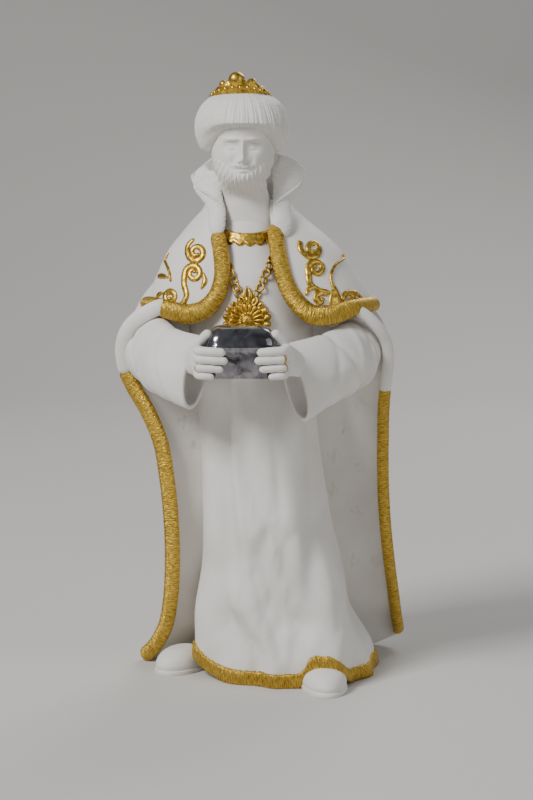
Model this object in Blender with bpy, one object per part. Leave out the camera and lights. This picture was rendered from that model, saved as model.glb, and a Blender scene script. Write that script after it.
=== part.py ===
"""Standing wise man from a nativity set, slip-cast in biscuit porcelain, with a casket in his hands.

The figure is one casting: gown, cloak, shoulder cape, collar, head, fur hat with its crown, chain
with its pendant, sleeves, hands and shoes. The casket is a second casting, set between the hands.
The figure faces -Y and stands on Z = 0. Its pose and carving are written as shares of its height:
one part is a 330th of it, so that a part is a millimetre on the figure as made.
"""

import math

import bmesh
import bpy
import numpy as np

# Driving dimensions, in metres
FIGURE_HEIGHT = 0.330
CASKET_WIDTH = 0.0380
CASKET_DEPTH = 0.0270
CASKET_WALL_HEIGHT = 0.0165
CASKET_LID_RISE = 0.0100
CASKET_CORNER = 0.0075
CASKET_RIM = 0.0008
SEAT_GAP = 0.0003
FINGER_RADIUS = 0.0022

PART = FIGURE_HEIGHT / 330

# Where the casket is held, in parts of the figure's height: centre x, centre y, underside z
CASKET_PLACE = np.array([-8.3, -64.0, 173.6])


# How many of the joined facets are kept, most of them where the surface bends
FACET_SHARE = 0.286

# Curves, grids and the meshes made from them


def through(rows, at):
    """A smooth curve through rows of (position, value, ...), read at the positions in `at`."""
    rows = np.array(rows, float)
    place, value = rows[:, 0], rows[:, 1:]
    slope = np.gradient(value, place, axis=0)
    at = np.clip(np.asarray(at, float), place[0], place[-1])
    i = np.clip(np.searchsorted(place, at, side="right") - 1, 0, len(place) - 2)
    span = (place[i + 1] - place[i])[..., None]
    t = (at - place[i])[..., None] / span
    start = (2 * t**3 - 3 * t**2 + 1) * value[i] + (t**3 - 2 * t**2 + t) * span * slope[i]
    end = (3 * t**2 - 2 * t**3) * value[i + 1] + (t**3 - t**2) * span * slope[i + 1]
    return np.moveaxis(start + end, -1, 0)


def along(points, count):
    """`count` points evenly spaced along a smooth curve through the given points."""
    points = np.array(points, float)
    steps = np.linalg.norm(np.diff(points, axis=0), axis=1)
    place = np.concatenate([[0], np.cumsum(steps)])
    rows = np.column_stack([place, points])
    return np.stack(through(rows, np.linspace(0, place[-1], count)), axis=-1)


def unit(vectors):
    return vectors / np.maximum(np.linalg.norm(vectors, axis=-1, keepdims=True), 1e-9)


def sheet_normals(grid):
    """The direction across a sheet of points, from the cross product of its two slopes."""
    return unit(np.cross(np.gradient(grid, axis=0), np.gradient(grid, axis=1)))


def solid(name, points, faces):
    """A helper object from points in parts of the height. It is joined into a casting later."""
    mesh = bpy.data.meshes.new(name)
    mesh.from_pydata((points * PART).tolist(), [], faces)
    work = bmesh.new()
    work.from_mesh(mesh)
    bmesh.ops.remove_doubles(work, verts=work.verts, dist=0.02 * PART)
    bmesh.ops.dissolve_degenerate(work, edges=work.edges, dist=0.01 * PART)
    bmesh.ops.triangulate(work, faces=work.faces)
    bmesh.ops.recalc_face_normals(work, faces=work.faces)
    work.to_mesh(mesh)
    work.free()
    helper = bpy.data.objects.new(name, mesh)
    helper.hide_render = True
    helper.display_type = "WIRE"
    return helper


def lofted(name, rings, fans=True):
    """A closed solid through a stack of rings, rows by columns, with a fan or one flat face at each end."""
    rows, columns = rings.shape[:2]
    faces = []
    for r in range(rows - 1):
        for c in range(columns):
            d = (c + 1) % columns
            faces.append((r * columns + c, r * columns + d, (r + 1) * columns + d, (r + 1) * columns + c))
    points = rings.reshape(-1, 3)
    if not fans:
        faces.append(tuple(range(columns)))
        faces.append(tuple(range((rows - 1) * columns, rows * columns)))
        return solid(name, points, faces)
    points = np.vstack([points, rings[0].mean(axis=0), rings[-1].mean(axis=0)])
    first, last = rows * columns, rows * columns + 1
    for c in range(columns):
        d = (c + 1) % columns
        faces.append((first, d, c))
        faces.append((last, (rows - 1) * columns + c, (rows - 1) * columns + d))
    return solid(name, points, faces)


def slab(name, front, back):
    """A closed solid between two sheets of points of the same shape."""
    rings = np.concatenate([front, back[:, ::-1]], axis=1)
    rows, columns = rings.shape[:2]
    half = columns // 2
    faces = []
    for r in range(rows - 1):
        for c in range(columns):
            d = (c + 1) % columns
            faces.append((r * columns + c, r * columns + d, (r + 1) * columns + d, (r + 1) * columns + c))
    for r in (0, rows - 1):
        for c in range(half - 1):
            far = columns - 1 - c
            faces.append((r * columns + c, r * columns + c + 1, r * columns + far - 1, r * columns + far))
    return solid(name, rings.reshape(-1, 3), faces)


def roll(name, path, normals, width, height, sides, blunt=True):
    """A closed cord of oval section along a path: half `width` across it, half `height` up its normal."""
    tangent = unit(np.gradient(path, axis=0))
    across = unit(np.cross(tangent, normals))
    upward = unit(np.cross(across, tangent))
    end = np.linspace(-1, 1, len(path))
    taper = (1 - 0.55 * np.abs(end) ** 9)[:, None, None] if blunt else 1.0
    turn = 2 * np.pi * (np.arange(sides) + 0.5) / sides
    width = np.broadcast_to(width, len(path))[:, None, None]
    height = np.broadcast_to(height, len(path))[:, None, None]
    ring = across[:, None] * np.cos(turn)[:, None] * width + upward[:, None] * np.sin(turn)[:, None] * height
    return lofted(name, path[:, None] + ring * taper)


def ball(name, centre, radius, columns=8, rows=5):
    """A closed ball, as circles stacked between two poles."""
    turn = 2 * np.pi * np.arange(columns) / columns
    tilt = np.linspace(-0.5, 0.5, rows + 2)[1:-1] * np.pi
    flat = np.cos(tilt)[:, None]
    rings = np.stack([flat * np.cos(turn), flat * np.sin(turn), np.sin(tilt)[:, None] + 0 * turn], axis=-1)
    return lofted(name, np.array(centre) + rings * radius)


def strokes(x, z, marks):
    """Carved strokes seen from the front: each lifts the surface by `lift` within `width` of its line."""
    total = np.zeros(np.broadcast(x, z).shape)
    for lift, width, line in marks:
        nearest = np.full(total.shape, 1e9)
        for (xa, za), (xb, zb) in zip(line, line[1:]):
            dx, dz = xb - xa, zb - za
            t = np.clip(((x - xa) * dx + (z - za) * dz) / (dx * dx + dz * dz), 0, 1)
            nearest = np.minimum(nearest, np.hypot(x - xa - t * dx, z - za - t * dz))
        total += lift * np.exp(-((nearest / width) ** 2))
    return total


# Gown

# Height, centre x, centre y, half width, depth to the front, depth to the back
GOWN_SECTIONS = [
    (0, 16.5, 14, 49, 51, 34),
    (12, 16, 13, 47.5, 51, 34),
    (35, 10, 12, 41, 49, 34),
    (70, 5, 10, 35, 48, 32),
    (100, 3, 9, 32.5, 47, 30),
    (145, 0, 8, 31.5, 46, 28),
    (175, -3, 8, 33, 46, 26),
    (205, -4.5, 7, 34, 43, 24),
    (225, -5.5, 5, 29, 34, 20),
    (240, -5.5, 2, 19, 22, 16),
    (251, -5.5, 0, 13.5, 14.5, 13),
]
GOWN_TOP = 251.0
HEM_BAND = 8.0
HEM_STEP = 0.9
GOWN_SQUARENESS = 2.25

# Lift, width and line of each fold, as x and z seen from the front
GOWN_FOLDS = [
    (-3.2, 5.5, [(-11, 134), (-4, 110), (6, 90), (14, 80)]),
    (-2.8, 5.0, [(3, 74), (9, 54), (14, 41), (22, 33)]),
    (-2.6, 4.5, [(-18, 34), (-7, 29), (0, 17)]),
    (-2.8, 5.0, [(27, 160), (28, 130), (28, 92), (27, 58)]),
    (-3.6, 6.5, [(-21, 150), (-20, 126), (-17, 96), (-15, 70)]),
    (-3.4, 5.5, [(-23, 60), (-20, 40), (-14, 22)]),
    (-2.0, 5.0, [(-6, 162), (-4, 146)]),
    (2.4, 5.5, [(36, 152), (36, 103), (36, 66), (40, 30)]),
    (2.6, 5.0, [(2, 84), (8, 62), (16, 34), (25, 24)]),
    (2.4, 5.0, [(-13, 46), (-6, 38), (4, 26), (9, 12)]),
    (3.2, 13.0, [(18, 140), (19, 108), (16, 88)]),
    (2.2, 5.0, [(-28, 144), (-26, 104), (-24, 68)]),
    (1.8, 5.0, [(-8, 92), (-6, 70), (0, 50)]),
    (8.0, 12.0, [(33, 44), (37, 6)]),
    (4.5, 11.0, [(-31, 30), (-35, 8)]),
]


def hem_height(x, y):
    """The hem lies on the ground and rises over each shoe."""
    over_left = 9.5 * np.exp(-(((x + 38) / 13) ** 2) - ((y - 4) / 30) ** 2)
    over_right = 11.5 * np.exp(-(((x - 37) / 11) ** 4) - ((y + 32) / 24) ** 4)
    return 0.4 + over_left + over_right


def gown_point(turn, z):
    """An oval whose front is fuller than an ellipse. `turn` is 0 in front and grows towards +X."""
    cx, cy, half, front, back = through(GOWN_SECTIONS, z)
    sine, cosine = np.sin(turn), np.cos(turn)
    lean = 2 / GOWN_SQUARENESS
    x = cx + half * np.sign(sine) * np.abs(sine) ** lean
    deep = np.where(cosine > 0, front, back)
    y = cy - deep * np.sign(cosine) * np.abs(cosine) ** lean
    facing = np.clip(cosine * 2.5 + 0.5, 0, 1)
    lift = strokes(x, z, GOWN_FOLDS) * facing
    ripple = 1.3 * np.cos(11 * turn + 0.8) * np.exp(-((z / 22) ** 2))
    return x + sine * (lift + ripple), y - cosine * (lift + ripple)


def gown_front(x, z):
    """The depth y of the gown's unfolded front at x and z, for what lies on the chest."""
    cx, cy, half, front, _ = through(GOWN_SECTIONS, z)
    across = np.clip(np.abs((x - cx) / half), 0, 0.98)
    return cy - front * (1 - across**GOWN_SQUARENESS) ** (1 / GOWN_SQUARENESS)


def make_gown():
    front = np.radians(np.linspace(-98, 98, 57))
    rear = np.radians([140, 220])
    turn = np.concatenate([front, rear])
    band = (HEM_BAND + 0.4) / GOWN_TOP
    share = np.concatenate([[0, band - 0.003, band], np.linspace(band, 0.62, 28)[1:], np.linspace(0.62, 1, 8)[1:]])
    foot_x, foot_y = gown_point(turn, np.zeros_like(turn))
    low = hem_height(foot_x, foot_y)
    low[-2:] = 3.0
    z = low + share[:, None] * (GOWN_TOP - low)
    x, y = gown_point(turn + 0 * z, z)
    raised = np.where(share[:, None] < band - 0.001, HEM_STEP, 0)
    x, y = x + np.sin(turn) * raised, y - np.cos(turn) * raised
    return lofted("form_gown", np.stack([x, y, z], axis=-1))


def make_sole():
    """What the gown stands on: its outline drawn in, from below the ground to behind the hem."""
    turn = 2 * np.pi * np.arange(40) / 40
    x, y = gown_point(turn, np.zeros_like(turn))
    middle = np.array([x.mean(), y.mean()])
    flat = middle + (np.column_stack([x, y]) - middle) * 0.9
    return lofted("form_sole", np.array([np.column_stack([flat, np.full(40, z)]) for z in (-2.0, 2.0)]))


def make_ground():
    """A block below Z = 0, which cuts the underside flat."""
    corners = np.array([(-150, -150), (150, -150), (150, 150), (-150, 150)], float)
    return lofted("cut_ground", np.array([np.column_stack([corners, np.full(4, z)]) for z in (-40.0, 0.0)]))


# Cloak

# Height, left edge x and y, right edge x and y, back x and y, depth of the lining behind the edges
CLOAK_SECTIONS = [
    (0, -65.5, 22, 81.5, 52, 8, 66, 6),
    (13, -59, 17, 80.5, 47, 7, 64, 6),
    (32, -53, 9, 77, 35, 5, 61, 8),
    (60, -50, 2, 73.5, 21, 3, 57, 10),
    (95, -51.5, -2, 70.5, 10, 1, 53, 12),
    (123, -55, -3, 69.5, 4, 0, 50, 13),
    (150, -64.5, -6, 69.5, -1, -1, 48, 12),
    (165, -72.5, -10, 72, -6, -1, 47, 11),
    (180, -75, -12, 73, -8, -1, 46, 10),
    (195, -69, -13, 68.5, -9, -1, 44, 8),
    (207, -57, -11, 60, -8, 0, 42, 6),
    (220, -45, -5, 48, -5, 0, 37, 4),
    (236, -30, 2, 28, 2, -3, 27, 1),
]
BACK_FOLDS = 5
BACK_FOLD_DEPTH = 3.4
CORNER_LIFT = 8.0


def cloak_outside(share, z):
    """A quarter oval from the left edge to the back and one more to the right edge, in soft folds."""
    xl, yl, xr, yr, xb, yb, _ = through(CLOAK_SECTIONS, z)
    left = share < 0.5
    swing = np.pi * np.where(left, share, 1 - share)
    xe, ye = np.where(left, xl, xr), np.where(left, yl, yr)
    x = xe + (xb - xe) * (1 - np.cos(swing))
    y = ye + (yb - ye) * np.sin(swing)
    hang = np.clip(1 - z / 215, 0, 1) ** 0.8
    fade = np.clip(np.sin(swing) * 1.6 - 0.35, 0, 1)
    lift = BACK_FOLD_DEPTH * hang * fade * np.cos(2 * np.pi * BACK_FOLDS * (share - 0.5) + 0.6 * z / 100)
    side = np.where(left, -1, 1) * np.cos(swing)
    return x + side * lift, y + np.sin(swing) * lift


def cloak_lining(share, z):
    """The inner face, from the right edge (0) to the left (1), scooped back between them."""
    xl, yl, xr, yr, _, _, recess = through(CLOAK_SECTIONS, z)
    scoop = 1 - np.abs(2 * share - 1) ** 3.5
    return xr + (xl - xr) * share, yr + (yl - yr) * share + recess * scoop


def make_cloak():
    z = np.array([-2, 8, 20, 34, 50, 66, 82, 98, 112, 126, 138, 150, 161, 172, 183, 194, 205, 218, 232.0])[:, None]
    outer = np.linspace(0, 1, 49)
    inner = np.array([0.05, 0.1, 0.16, 0.24, 0.5, 0.76, 0.84, 0.9, 0.95])
    xo, yo = cloak_outside(outer + 0 * z, np.maximum(z, 0) + 0 * outer)
    xi, yi = cloak_lining(inner + 0 * z, np.maximum(z, 0) + 0 * inner)
    x, y = np.hstack([xo, xi]), np.hstack([yo, yi])
    corner = np.exp(-((np.hypot(x - 81, y - 50) / 12) ** 2))
    z = z + CORNER_LIFT * corner * np.clip(1 - z / 50, 0, 1)
    return lofted("form_cloak", np.stack([x, y, z], axis=-1), fans=False)


# The middle of the rolled border down each free edge, from the ground to the front of the elbow
CLOAK_EDGES = {
    -1: [(-65.5, 22, -2), (-58, 16, 10.5), (-52, 10, 23), (-48.9, 4, 39), (-47.5, 0, 62), (-48, -2, 86),
         (-50, -3, 108), (-53.7, -4, 130), (-60.6, -6, 147.5), (-68, -8.5, 161), (-72, -12, 171.5),
         (-73, -15, 183), (-70.6, -18, 191.5), (-65, -20.5, 198.5), (-57, -22, 203.5), (-48, -21, 207)],
    1: [(81.5, 52, 8), (79.8, 44, 18), (76.7, 32, 38), (73.6, 20, 58.5), (70.7, 11, 83), (69.2, 6, 106.5),
        (68.8, 2, 129.5), (69, -3, 152), (70, -8, 165), (70.8, -11, 177), (69.3, -14, 186), (64.5, -18, 194),
        (58, -20.5, 200.5), (51, -21.5, 205), (44, -20, 208)],
}
EDGE_ROLL_WIDTH = {-1: 4.5, 1: 3.6}
EDGE_ROLL_HEIGHT = 2.6


def make_edge_roll(side):
    """The rolled border down one edge of the cloak, which curls forward round the elbow at its top."""
    path = along(CLOAK_EDGES[side], 36)
    outward = unit(np.column_stack([np.full(36, 0.25 * side), np.full(36, -1.0), np.full(36, 0.1)]))
    return roll(f"form_edge_{side}", path, outward, EDGE_ROLL_WIDTH[side], EDGE_ROLL_HEIGHT, 8)


# Shoulder cape

# Height, centre x, half width, depth to the front, depth to the back, all from centre y = CAPE_Y
CAPE_Y = 2.0
CAPE_SECTIONS = [
    (190, 1.0, 63.5, 41.5, 45),
    (206, 1.0, 61.5, 40.5, 44),
    (222, -0.5, 54.0, 35.5, 41),
    (236, -2.0, 45.5, 28.5, 36),
    (244, -3.0, 38.0, 23.5, 31),
    (250, -4.5, 31.5, 20.0, 26),
    (258, -5.5, 23.0, 16.5, 20),
    (264, -5.5, 19.0, 15.0, 17),
]
CAPE_THICKNESS = 3.0

# The front edge of each lobe from the neck down, as x and z seen from the front
CAPE_FRONT = {
    -1: [(-19.5, 262), (-21.5, 246), (-19.5, 234), (-18.8, 223), (-22.0, 212.0)],
    1: [(7.5, 262), (8.0, 249), (10.2, 238.5), (12.3, 228), (15.4, 218), (20.0, 210.0)],
}
# The lower edge from there round the lobe, then round the back as degrees from the front and height
CAPE_LOBE = {
    -1: [(-28.8, 205.0), (-36.5, 202.5), (-47.0, 204.0), (-55.0, 205.5)],
    1: [(28.0, 203.0), (38.5, 202.0), (49.0, 204.5), (57.0, 205.5)],
}
CAPE_BACK = [(100, 203), (122, 197.5), (150, 192.5), (180, 191)]
CAPE_NECK = 262.0


def cape_point(turn, z, inside=0.0):
    """A bell over the shoulders. `turn` is 0 in front and grows towards +X, as on the gown."""
    cx, half, front, back = through(CAPE_SECTIONS, z)
    deep = np.where(np.cos(turn) > 0, front, back) - inside
    return np.stack([cx + (half - inside) * np.sin(turn), CAPE_Y - deep * np.cos(turn), z + 0 * turn], axis=-1)


def cape_turn(x, z):
    """The turn on the front of the bell of a point seen at x and z."""
    cx, half, _, _ = through(CAPE_SECTIONS, z)
    return math.asin(max(-0.97, min(0.97, (x - cx) / half)))


def cape_normal(turn, z):
    """The outward direction on the bell, from its slopes round and down."""
    step = 0.01
    around = cape_point(turn + step, z) - cape_point(turn - step, z)
    upward = cape_point(turn, z + step) - cape_point(turn, z - step)
    return unit(np.cross(around, upward))


def cape_hem(side):
    """(turn, z) of the lower edge of one half, from its front corner to the middle of the back."""
    lobe = [(abs(cape_turn(x, z)), z) for x, z in [CAPE_FRONT[side][-1], *CAPE_LOBE[side]]]
    return np.array(lobe + [(math.radians(a), z) for a, z in CAPE_BACK])


def cape_border(count):
    """(turn, z) from the neck round the left lobe, the back and the right lobe to the neck again."""
    halves = []
    for side in (-1, 1):
        front = [(side * cape_turn(x, z), z) for x, z in CAPE_FRONT[side][1:-1]]
        halves.append(np.vstack([front, cape_hem(side)]))
    left, right = halves
    right = right[-2::-1] * [-1, 1] + [2 * math.pi, 0]
    pairs = np.vstack([left, right])
    around = CAPE_SECTIONS[1][2]
    line = along(np.column_stack([-pairs[:, 0] * around, pairs[:, 1], 0 * pairs[:, 0]]), count)
    return line[:, 0] / around, line[:, 1]


def cape_half(side, rows, columns):
    """(turn, z) over one half: rows from the neck to the hem, columns from the front edge to the back."""
    hem = cape_hem(side)
    share = np.linspace(0, 1, rows)[:, None]
    u = np.linspace(0, 1, columns)
    front = np.array([(z, abs(cape_turn(x, z))) for x, z in CAPE_FRONT[side][::-1]])
    front_z = CAPE_NECK + (front[0, 0] - CAPE_NECK) * share
    start = through(front, front_z)[0]
    hem_turn = hem[0, 0] + (math.pi - hem[0, 0]) * u
    z = CAPE_NECK + (through(hem, hem_turn)[0] - CAPE_NECK) * share
    return side * (start + (math.pi - start) * u), z


def make_cape():
    left_turn, left_z = cape_half(-1, 9, 25)
    right_turn, right_z = cape_half(1, 9, 25)
    turn = np.hstack([left_turn, right_turn[:, -2::-1]])
    z = np.hstack([left_z, right_z[:, -2::-1]])
    return slab("form_cape", cape_point(turn, z), cape_point(turn, z, CAPE_THICKNESS))


# Half width of the border along it, as a share of its length, and its half height
CAPE_TRIM_WIDTH = [(0, 4.2), (0.06, 4.4), (0.14, 5.4), (0.22, 4.2), (0.5, 4.0), (0.78, 4.2), (0.86, 5.4), (0.94, 4.6), (1, 4.4)]
CAPE_TRIM_HEIGHT = 3.2


def make_cape_trim():
    """The fur border of the cape, one roll from the neck round both lobes and the back."""
    turn, z = cape_border(91)
    normal = cape_normal(turn, z)
    path = cape_point(turn, z) + normal * 0.4
    width = through(CAPE_TRIM_WIDTH, np.linspace(0, 1, 91))[0]
    return roll("form_cape_trim", path, normal, width, CAPE_TRIM_HEIGHT, 8)


# Collar

COLLAR_CENTRE = (-5.5, 1.0)
# Share up the collar, radius at the sides, radius at the back, height at the sides, height at the back
COLLAR_PROFILE = [
    (0.0, 39.0, 32.0, 243.0, 241.0),
    (0.2, 31.8, 26.5, 250.0, 249.0),
    (0.4, 25.0, 21.5, 256.5, 257.5),
    (0.55, 22.5, 19.5, 261.5, 266.0),
    (0.7, 25.0, 20.5, 266.0, 275.0),
    (0.85, 29.0, 23.0, 270.0, 283.0),
    (1.0, 31.0, 26.0, 274.5, 290.0),
]
COLLAR_THICKNESS = 2.4
COLLAR_REACH = 137.0


def collar_point(turn, share):
    """A flared collar: a trumpet open in front. `turn` is 0 at the back. The front ends are lower."""
    ahead = np.clip((np.degrees(np.abs(turn)) - 84) / (COLLAR_REACH - 84), 0, 1)
    share = share * (1 - 0.42 * ahead**1.4)
    side_r, back_r, side_z, back_z = through(COLLAR_PROFILE, share)
    side = np.clip(np.sin(np.clip(np.abs(turn), 0, np.pi / 2)), 0, 1) ** 2.5
    radius = back_r + (side_r - back_r) * side
    z = back_z + (side_z - back_z) * side
    radius = radius * (1 - 0.36 * ahead * (1 - share) ** 2)
    z = z - ahead * 3.0
    x = COLLAR_CENTRE[0] + 2.5 * np.clip(1 - share / 0.5, 0, 1) + radius * np.sin(turn)
    y = COLLAR_CENTRE[1] + radius * np.cos(turn)
    return np.stack([x, y, z], axis=-1)


def make_collar():
    turn = np.radians(np.linspace(-COLLAR_REACH, COLLAR_REACH, 35))
    share = np.array([0, 0.15, 0.3, 0.42, 0.55, 0.66, 0.77, 0.88, 1.0])[:, None]
    outside = collar_point(turn + 0 * share, share + 0 * turn)
    normal = sheet_normals(outside)
    outward = np.sign(np.sum(normal[4, 17] * np.array([0, 1, 0])))
    return slab("form_collar", outside, outside - normal * outward * COLLAR_THICKNESS)


# The collar's front facings, from the top of the cape's fur up into the lobes: x, y, z and half width
FACINGS = {
    -1: [(-21.5, -21, 243, 5.0), (-21.9, -18, 249, 4.8), (-22.0, -13, 256, 4.8), (-23.4, -10.5, 261, 5.0),
         (-25.6, -7.5, 266.5, 6.6), (-27.6, -5, 271.5, 7.8), (-29.0, -3, 276.5, 5.6), (-28.0, -1, 280.0, 2.4)],
    1: [(13.4, -21, 243, 5.4), (13.2, -17, 250, 5.6), (12.8, -12.5, 257, 5.0), (13.2, -9, 263, 5.4),
        (15.2, -6, 269, 7.8), (16.3, -3, 275, 9.0), (14.6, -0.5, 281, 7.0), (11.5, 1.5, 285.5, 2.6)],
}
FACING_HEIGHT = 2.6


def make_facing(side):
    rows = along(FACINGS[side], 14)
    path, width = rows[:, :3], rows[:, 3]
    outward = unit(np.column_stack([np.full(14, 0.3 * side), np.full(14, -1.0), np.full(14, 0.2)]))
    return roll(f"form_facing_{side}", path, outward, width, FACING_HEIGHT, 8)


# Neck and head

HEAD_AXIS = (-8.0, -7.0)
# Height, shift to the side, half width, depth to the front, depth to the back
HEAD_SECTIONS = [
    (232, 3.5, 16.5, 10.0, 16.0),
    (246, 3.5, 14.2, 8.0, 15.0),
    (258, 2.6, 13.0, 7.5, 14.0),
    (265, 1.4, 12.4, 8.5, 14.0),
    (268.5, 0.6, 12.2, 12.5, 14.0),
    (271.5, 0, 12.4, 17.5, 14.0),
    (275.5, 0, 14.0, 20.3, 14.5),
    (281.5, 0, 15.8, 20.0, 15.5),
    (287.5, 0, 17.2, 19.2, 17.0),
    (293.5, 0, 17.6, 19.3, 18.0),
    (301.5, 0, 17.0, 19.3, 19.0),
    (309.0, 0, 12.0, 15.0, 16.0),
]
# Lift, half width and half height of each feature of the face: across from the nose, height
FACE_FEATURES = [
    (4.3, 1.9, 2.3, 0.0, 283.9),
    (2.4, 1.5, 4.5, 0.0, 288.8),
    (1.4, 4.5, 1.3, 5.6, 294.5),
    (-2.4, 3.4, 2.1, 5.6, 290.9),
    (0.9, 3.6, 3.0, 8.6, 285.8),
    (1.2, 4.0, 1.5, 2.6, 280.9),
    (-0.9, 3.6, 0.8, 0.0, 279.2),
    (1.1, 2.8, 1.0, 0.0, 277.7),
    (1.6, 5.0, 3.2, 0.0, 273.3),
]


def head_point(turn, z):
    """An oval head on its neck. Each feature of the face is a soft bump, mirrored about the nose."""
    shift, half, front, back = through(HEAD_SECTIONS, z)
    deep = np.where(np.cos(turn) > 0, front, back)
    x = half * np.sin(turn)
    y = -deep * np.cos(turn)
    facing = np.clip(np.cos(turn) * 2, 0, 1)
    for lift, wide, high, across, height in FACE_FEATURES:
        bump = lift * np.exp(-(((np.abs(x) - across) / wide) ** 2) - ((z - height) / high) ** 2)
        y = y - bump * facing
    return np.stack([HEAD_AXIS[0] + shift + x, HEAD_AXIS[1] + y, z + 0 * x], axis=-1)


def make_head():
    front = np.radians([-90, -75, -61, -49, -39, -30, -22, -15, -10, -5, 0, 5, 10, 15, 22, 30, 39, 49, 61, 75, 90])
    rear = np.radians([115, 140, 165, 195, 220, 245])
    turn = np.concatenate([front, rear])
    z = np.array([240, 250, 260, 266, 269, 271.5, 274, 276.4, 278, 279, 279.8, 280.6, 282, 283.4, 284.6, 286, 288.3,
                  290, 291.6, 293.2, 295, 296.8, 299, 302, 305.0])[:, None]
    return lofted("form_head", head_point(turn + 0 * z, z + 0 * turn))


# Fur hat and crown

HAT_CENTRE = (-8.5, -6.0)
# Share from the rim to the top, radius, height
HAT_PROFILE = [
    (0.0, 13.5, 290.5),
    (0.1, 17.5, 287.3),
    (0.2, 21.3, 288.3),
    (0.33, 24.4, 294.0),
    (0.48, 25.4, 301.5),
    (0.62, 23.9, 308.5),
    (0.76, 19.6, 314.8),
    (0.88, 13.0, 318.6),
    (1.0, 4.0, 320.6),
]
HAT_LOCKS = 24
HAT_LOCK_DEPTH = 0.8
HAT_FRONT_RISE = 27.0


def hat_point(turn, share):
    """A round fur hat. Its rim is arched over the brow, and locks run from the rim to the top."""
    radius, z = through(HAT_PROFILE, share)
    front = np.exp(-((np.abs(np.arctan2(np.sin(turn), np.cos(turn))) / 1.0) ** 3))
    z = z + HAT_FRONT_RISE * front * np.clip(1 - np.maximum(share, 0.25) / 0.55, 0, 1) ** 1.2
    locks = HAT_LOCK_DEPTH * np.abs(np.cos(HAT_LOCKS * turn / 2 + 2.0 * share)) * np.sin(np.pi * share) ** 0.5
    radius = radius - HAT_LOCK_DEPTH + locks
    return np.stack([HAT_CENTRE[0] + radius * np.sin(turn), HAT_CENTRE[1] - radius * np.cos(turn), z], axis=-1)


def make_hat():
    turn = 2 * np.pi * np.arange(72) / 72
    share = np.array([0, 0.1, 0.2, 0.3, 0.4, 0.5, 0.6, 0.7, 0.8, 0.9, 1.0])[:, None]
    return lofted("form_hat", hat_point(turn + 0 * share, share + 0 * turn))


# The crown is a low band on the crest of the hat. It stands highest in front, over its great ball
CROWN_CENTRE = (-9.2, -4.5)
CROWN_RADIUS = (14.8, 14.0)
CROWN_SINK = 3.8
CROWN_BASE = HAT_PROFILE[-1][2] - CROWN_SINK
CROWN_FRONT_RISE = 4.6
CROWN_HEIGHT = 4.6
CROWN_PEAKS = 12
# The balls on the crown: place, with the height above its foot, and radius
FRONT_BALL = ((-11.2, -17.2, 9.1), 4.4)
SIDE_BALLS = [((-18.2, -14.2, 6.6), 2.3), ((-3.2, -15.0, 7.2), 2.7)]
BACK_BALL = ((-9.2, 8.0, 2.0), 2.6)


def crown_rings(columns):
    """The band from its foot on the hat, over its peaks, and in to the middle of the crest."""
    turn = 2 * np.pi * np.arange(columns) / columns
    ahead = np.clip(np.cos(turn), 0, 1) ** 1.3
    peak = np.abs(np.cos(CROWN_PEAKS * turn / 2)) ** 0.7
    tall = CROWN_HEIGHT * (0.35 + 0.65 * ahead)
    foot = CROWN_BASE + CROWN_FRONT_RISE * ahead
    rings = []
    for size, up, crest in [(1.02, -4.5, 0.0), (1.04, 0.3, 0.0), (1.0, 0.75, 0.25), (0.9, 0.7, 0.35), (0.72, 0.2, 0.1), (0.3, 0.1, 0.0)]:
        x = CROWN_CENTRE[0] + CROWN_RADIUS[0] * size * np.sin(turn)
        y = CROWN_CENTRE[1] - CROWN_RADIUS[1] * size * np.cos(turn)
        inside = np.clip((0.9 - size) / 0.6, 0, 1)
        z = (foot + (up if up < 0 else up * tall) + crest * tall * peak) * (1 - inside) + (CROWN_BASE + 3.5) * inside
        rings.append(np.column_stack([x, y, z]))
    return np.array(rings)


def make_crown():
    forms = [lofted("form_crown", crown_rings(48))]
    for i, (place, radius) in enumerate([FRONT_BALL, *SIDE_BALLS, BACK_BALL]):
        centre = np.array(place) + [0, 0, CROWN_BASE]
        fine = (12, 7) if i == 0 else (8, 5)
        forms.append(ball(f"form_crown_ball_{i}", centre, radius, *fine))
    return forms


# Sleeves

# Points along each forearm from behind the elbow to the cuff, then half width and half height there
SLEEVES = {
    -1: {
        "path": [(-58, 15, 188), (-58, 1, 185), (-53.5, -22, 180), (-43.5, -41, 176), (-32.5, -53.5, 174)],
        "wide": [5, 14.5, 14.0, 11.5, 8.6],
        "high": [6, 17.5, 18.8, 19.0, 19.5],
        "lean": -2.5,
    },
    1: {
        "path": [(55, 15, 184), (54, 1, 181), (47.5, -21, 178), (34, -40, 173), (19.5, -53, 168.5)],
        "wide": [5, 14.5, 14.0, 11.5, 8.6],
        "high": [6, 17.0, 18.0, 18.8, 20.8],
        "lean": 4.0,
    },
}
UPPER_ARMS = {-1: [(-40, 6, 214), (-52, 3, 200), (-58, 1, 186)], 1: [(38, 6, 214), (50, 3, 200), (54, 1, 184)]}
UPPER_ARM_RADIUS = 14.0
SLEEVE_WALL = 2.2
CUFF_DEPTH = 11.0


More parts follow.
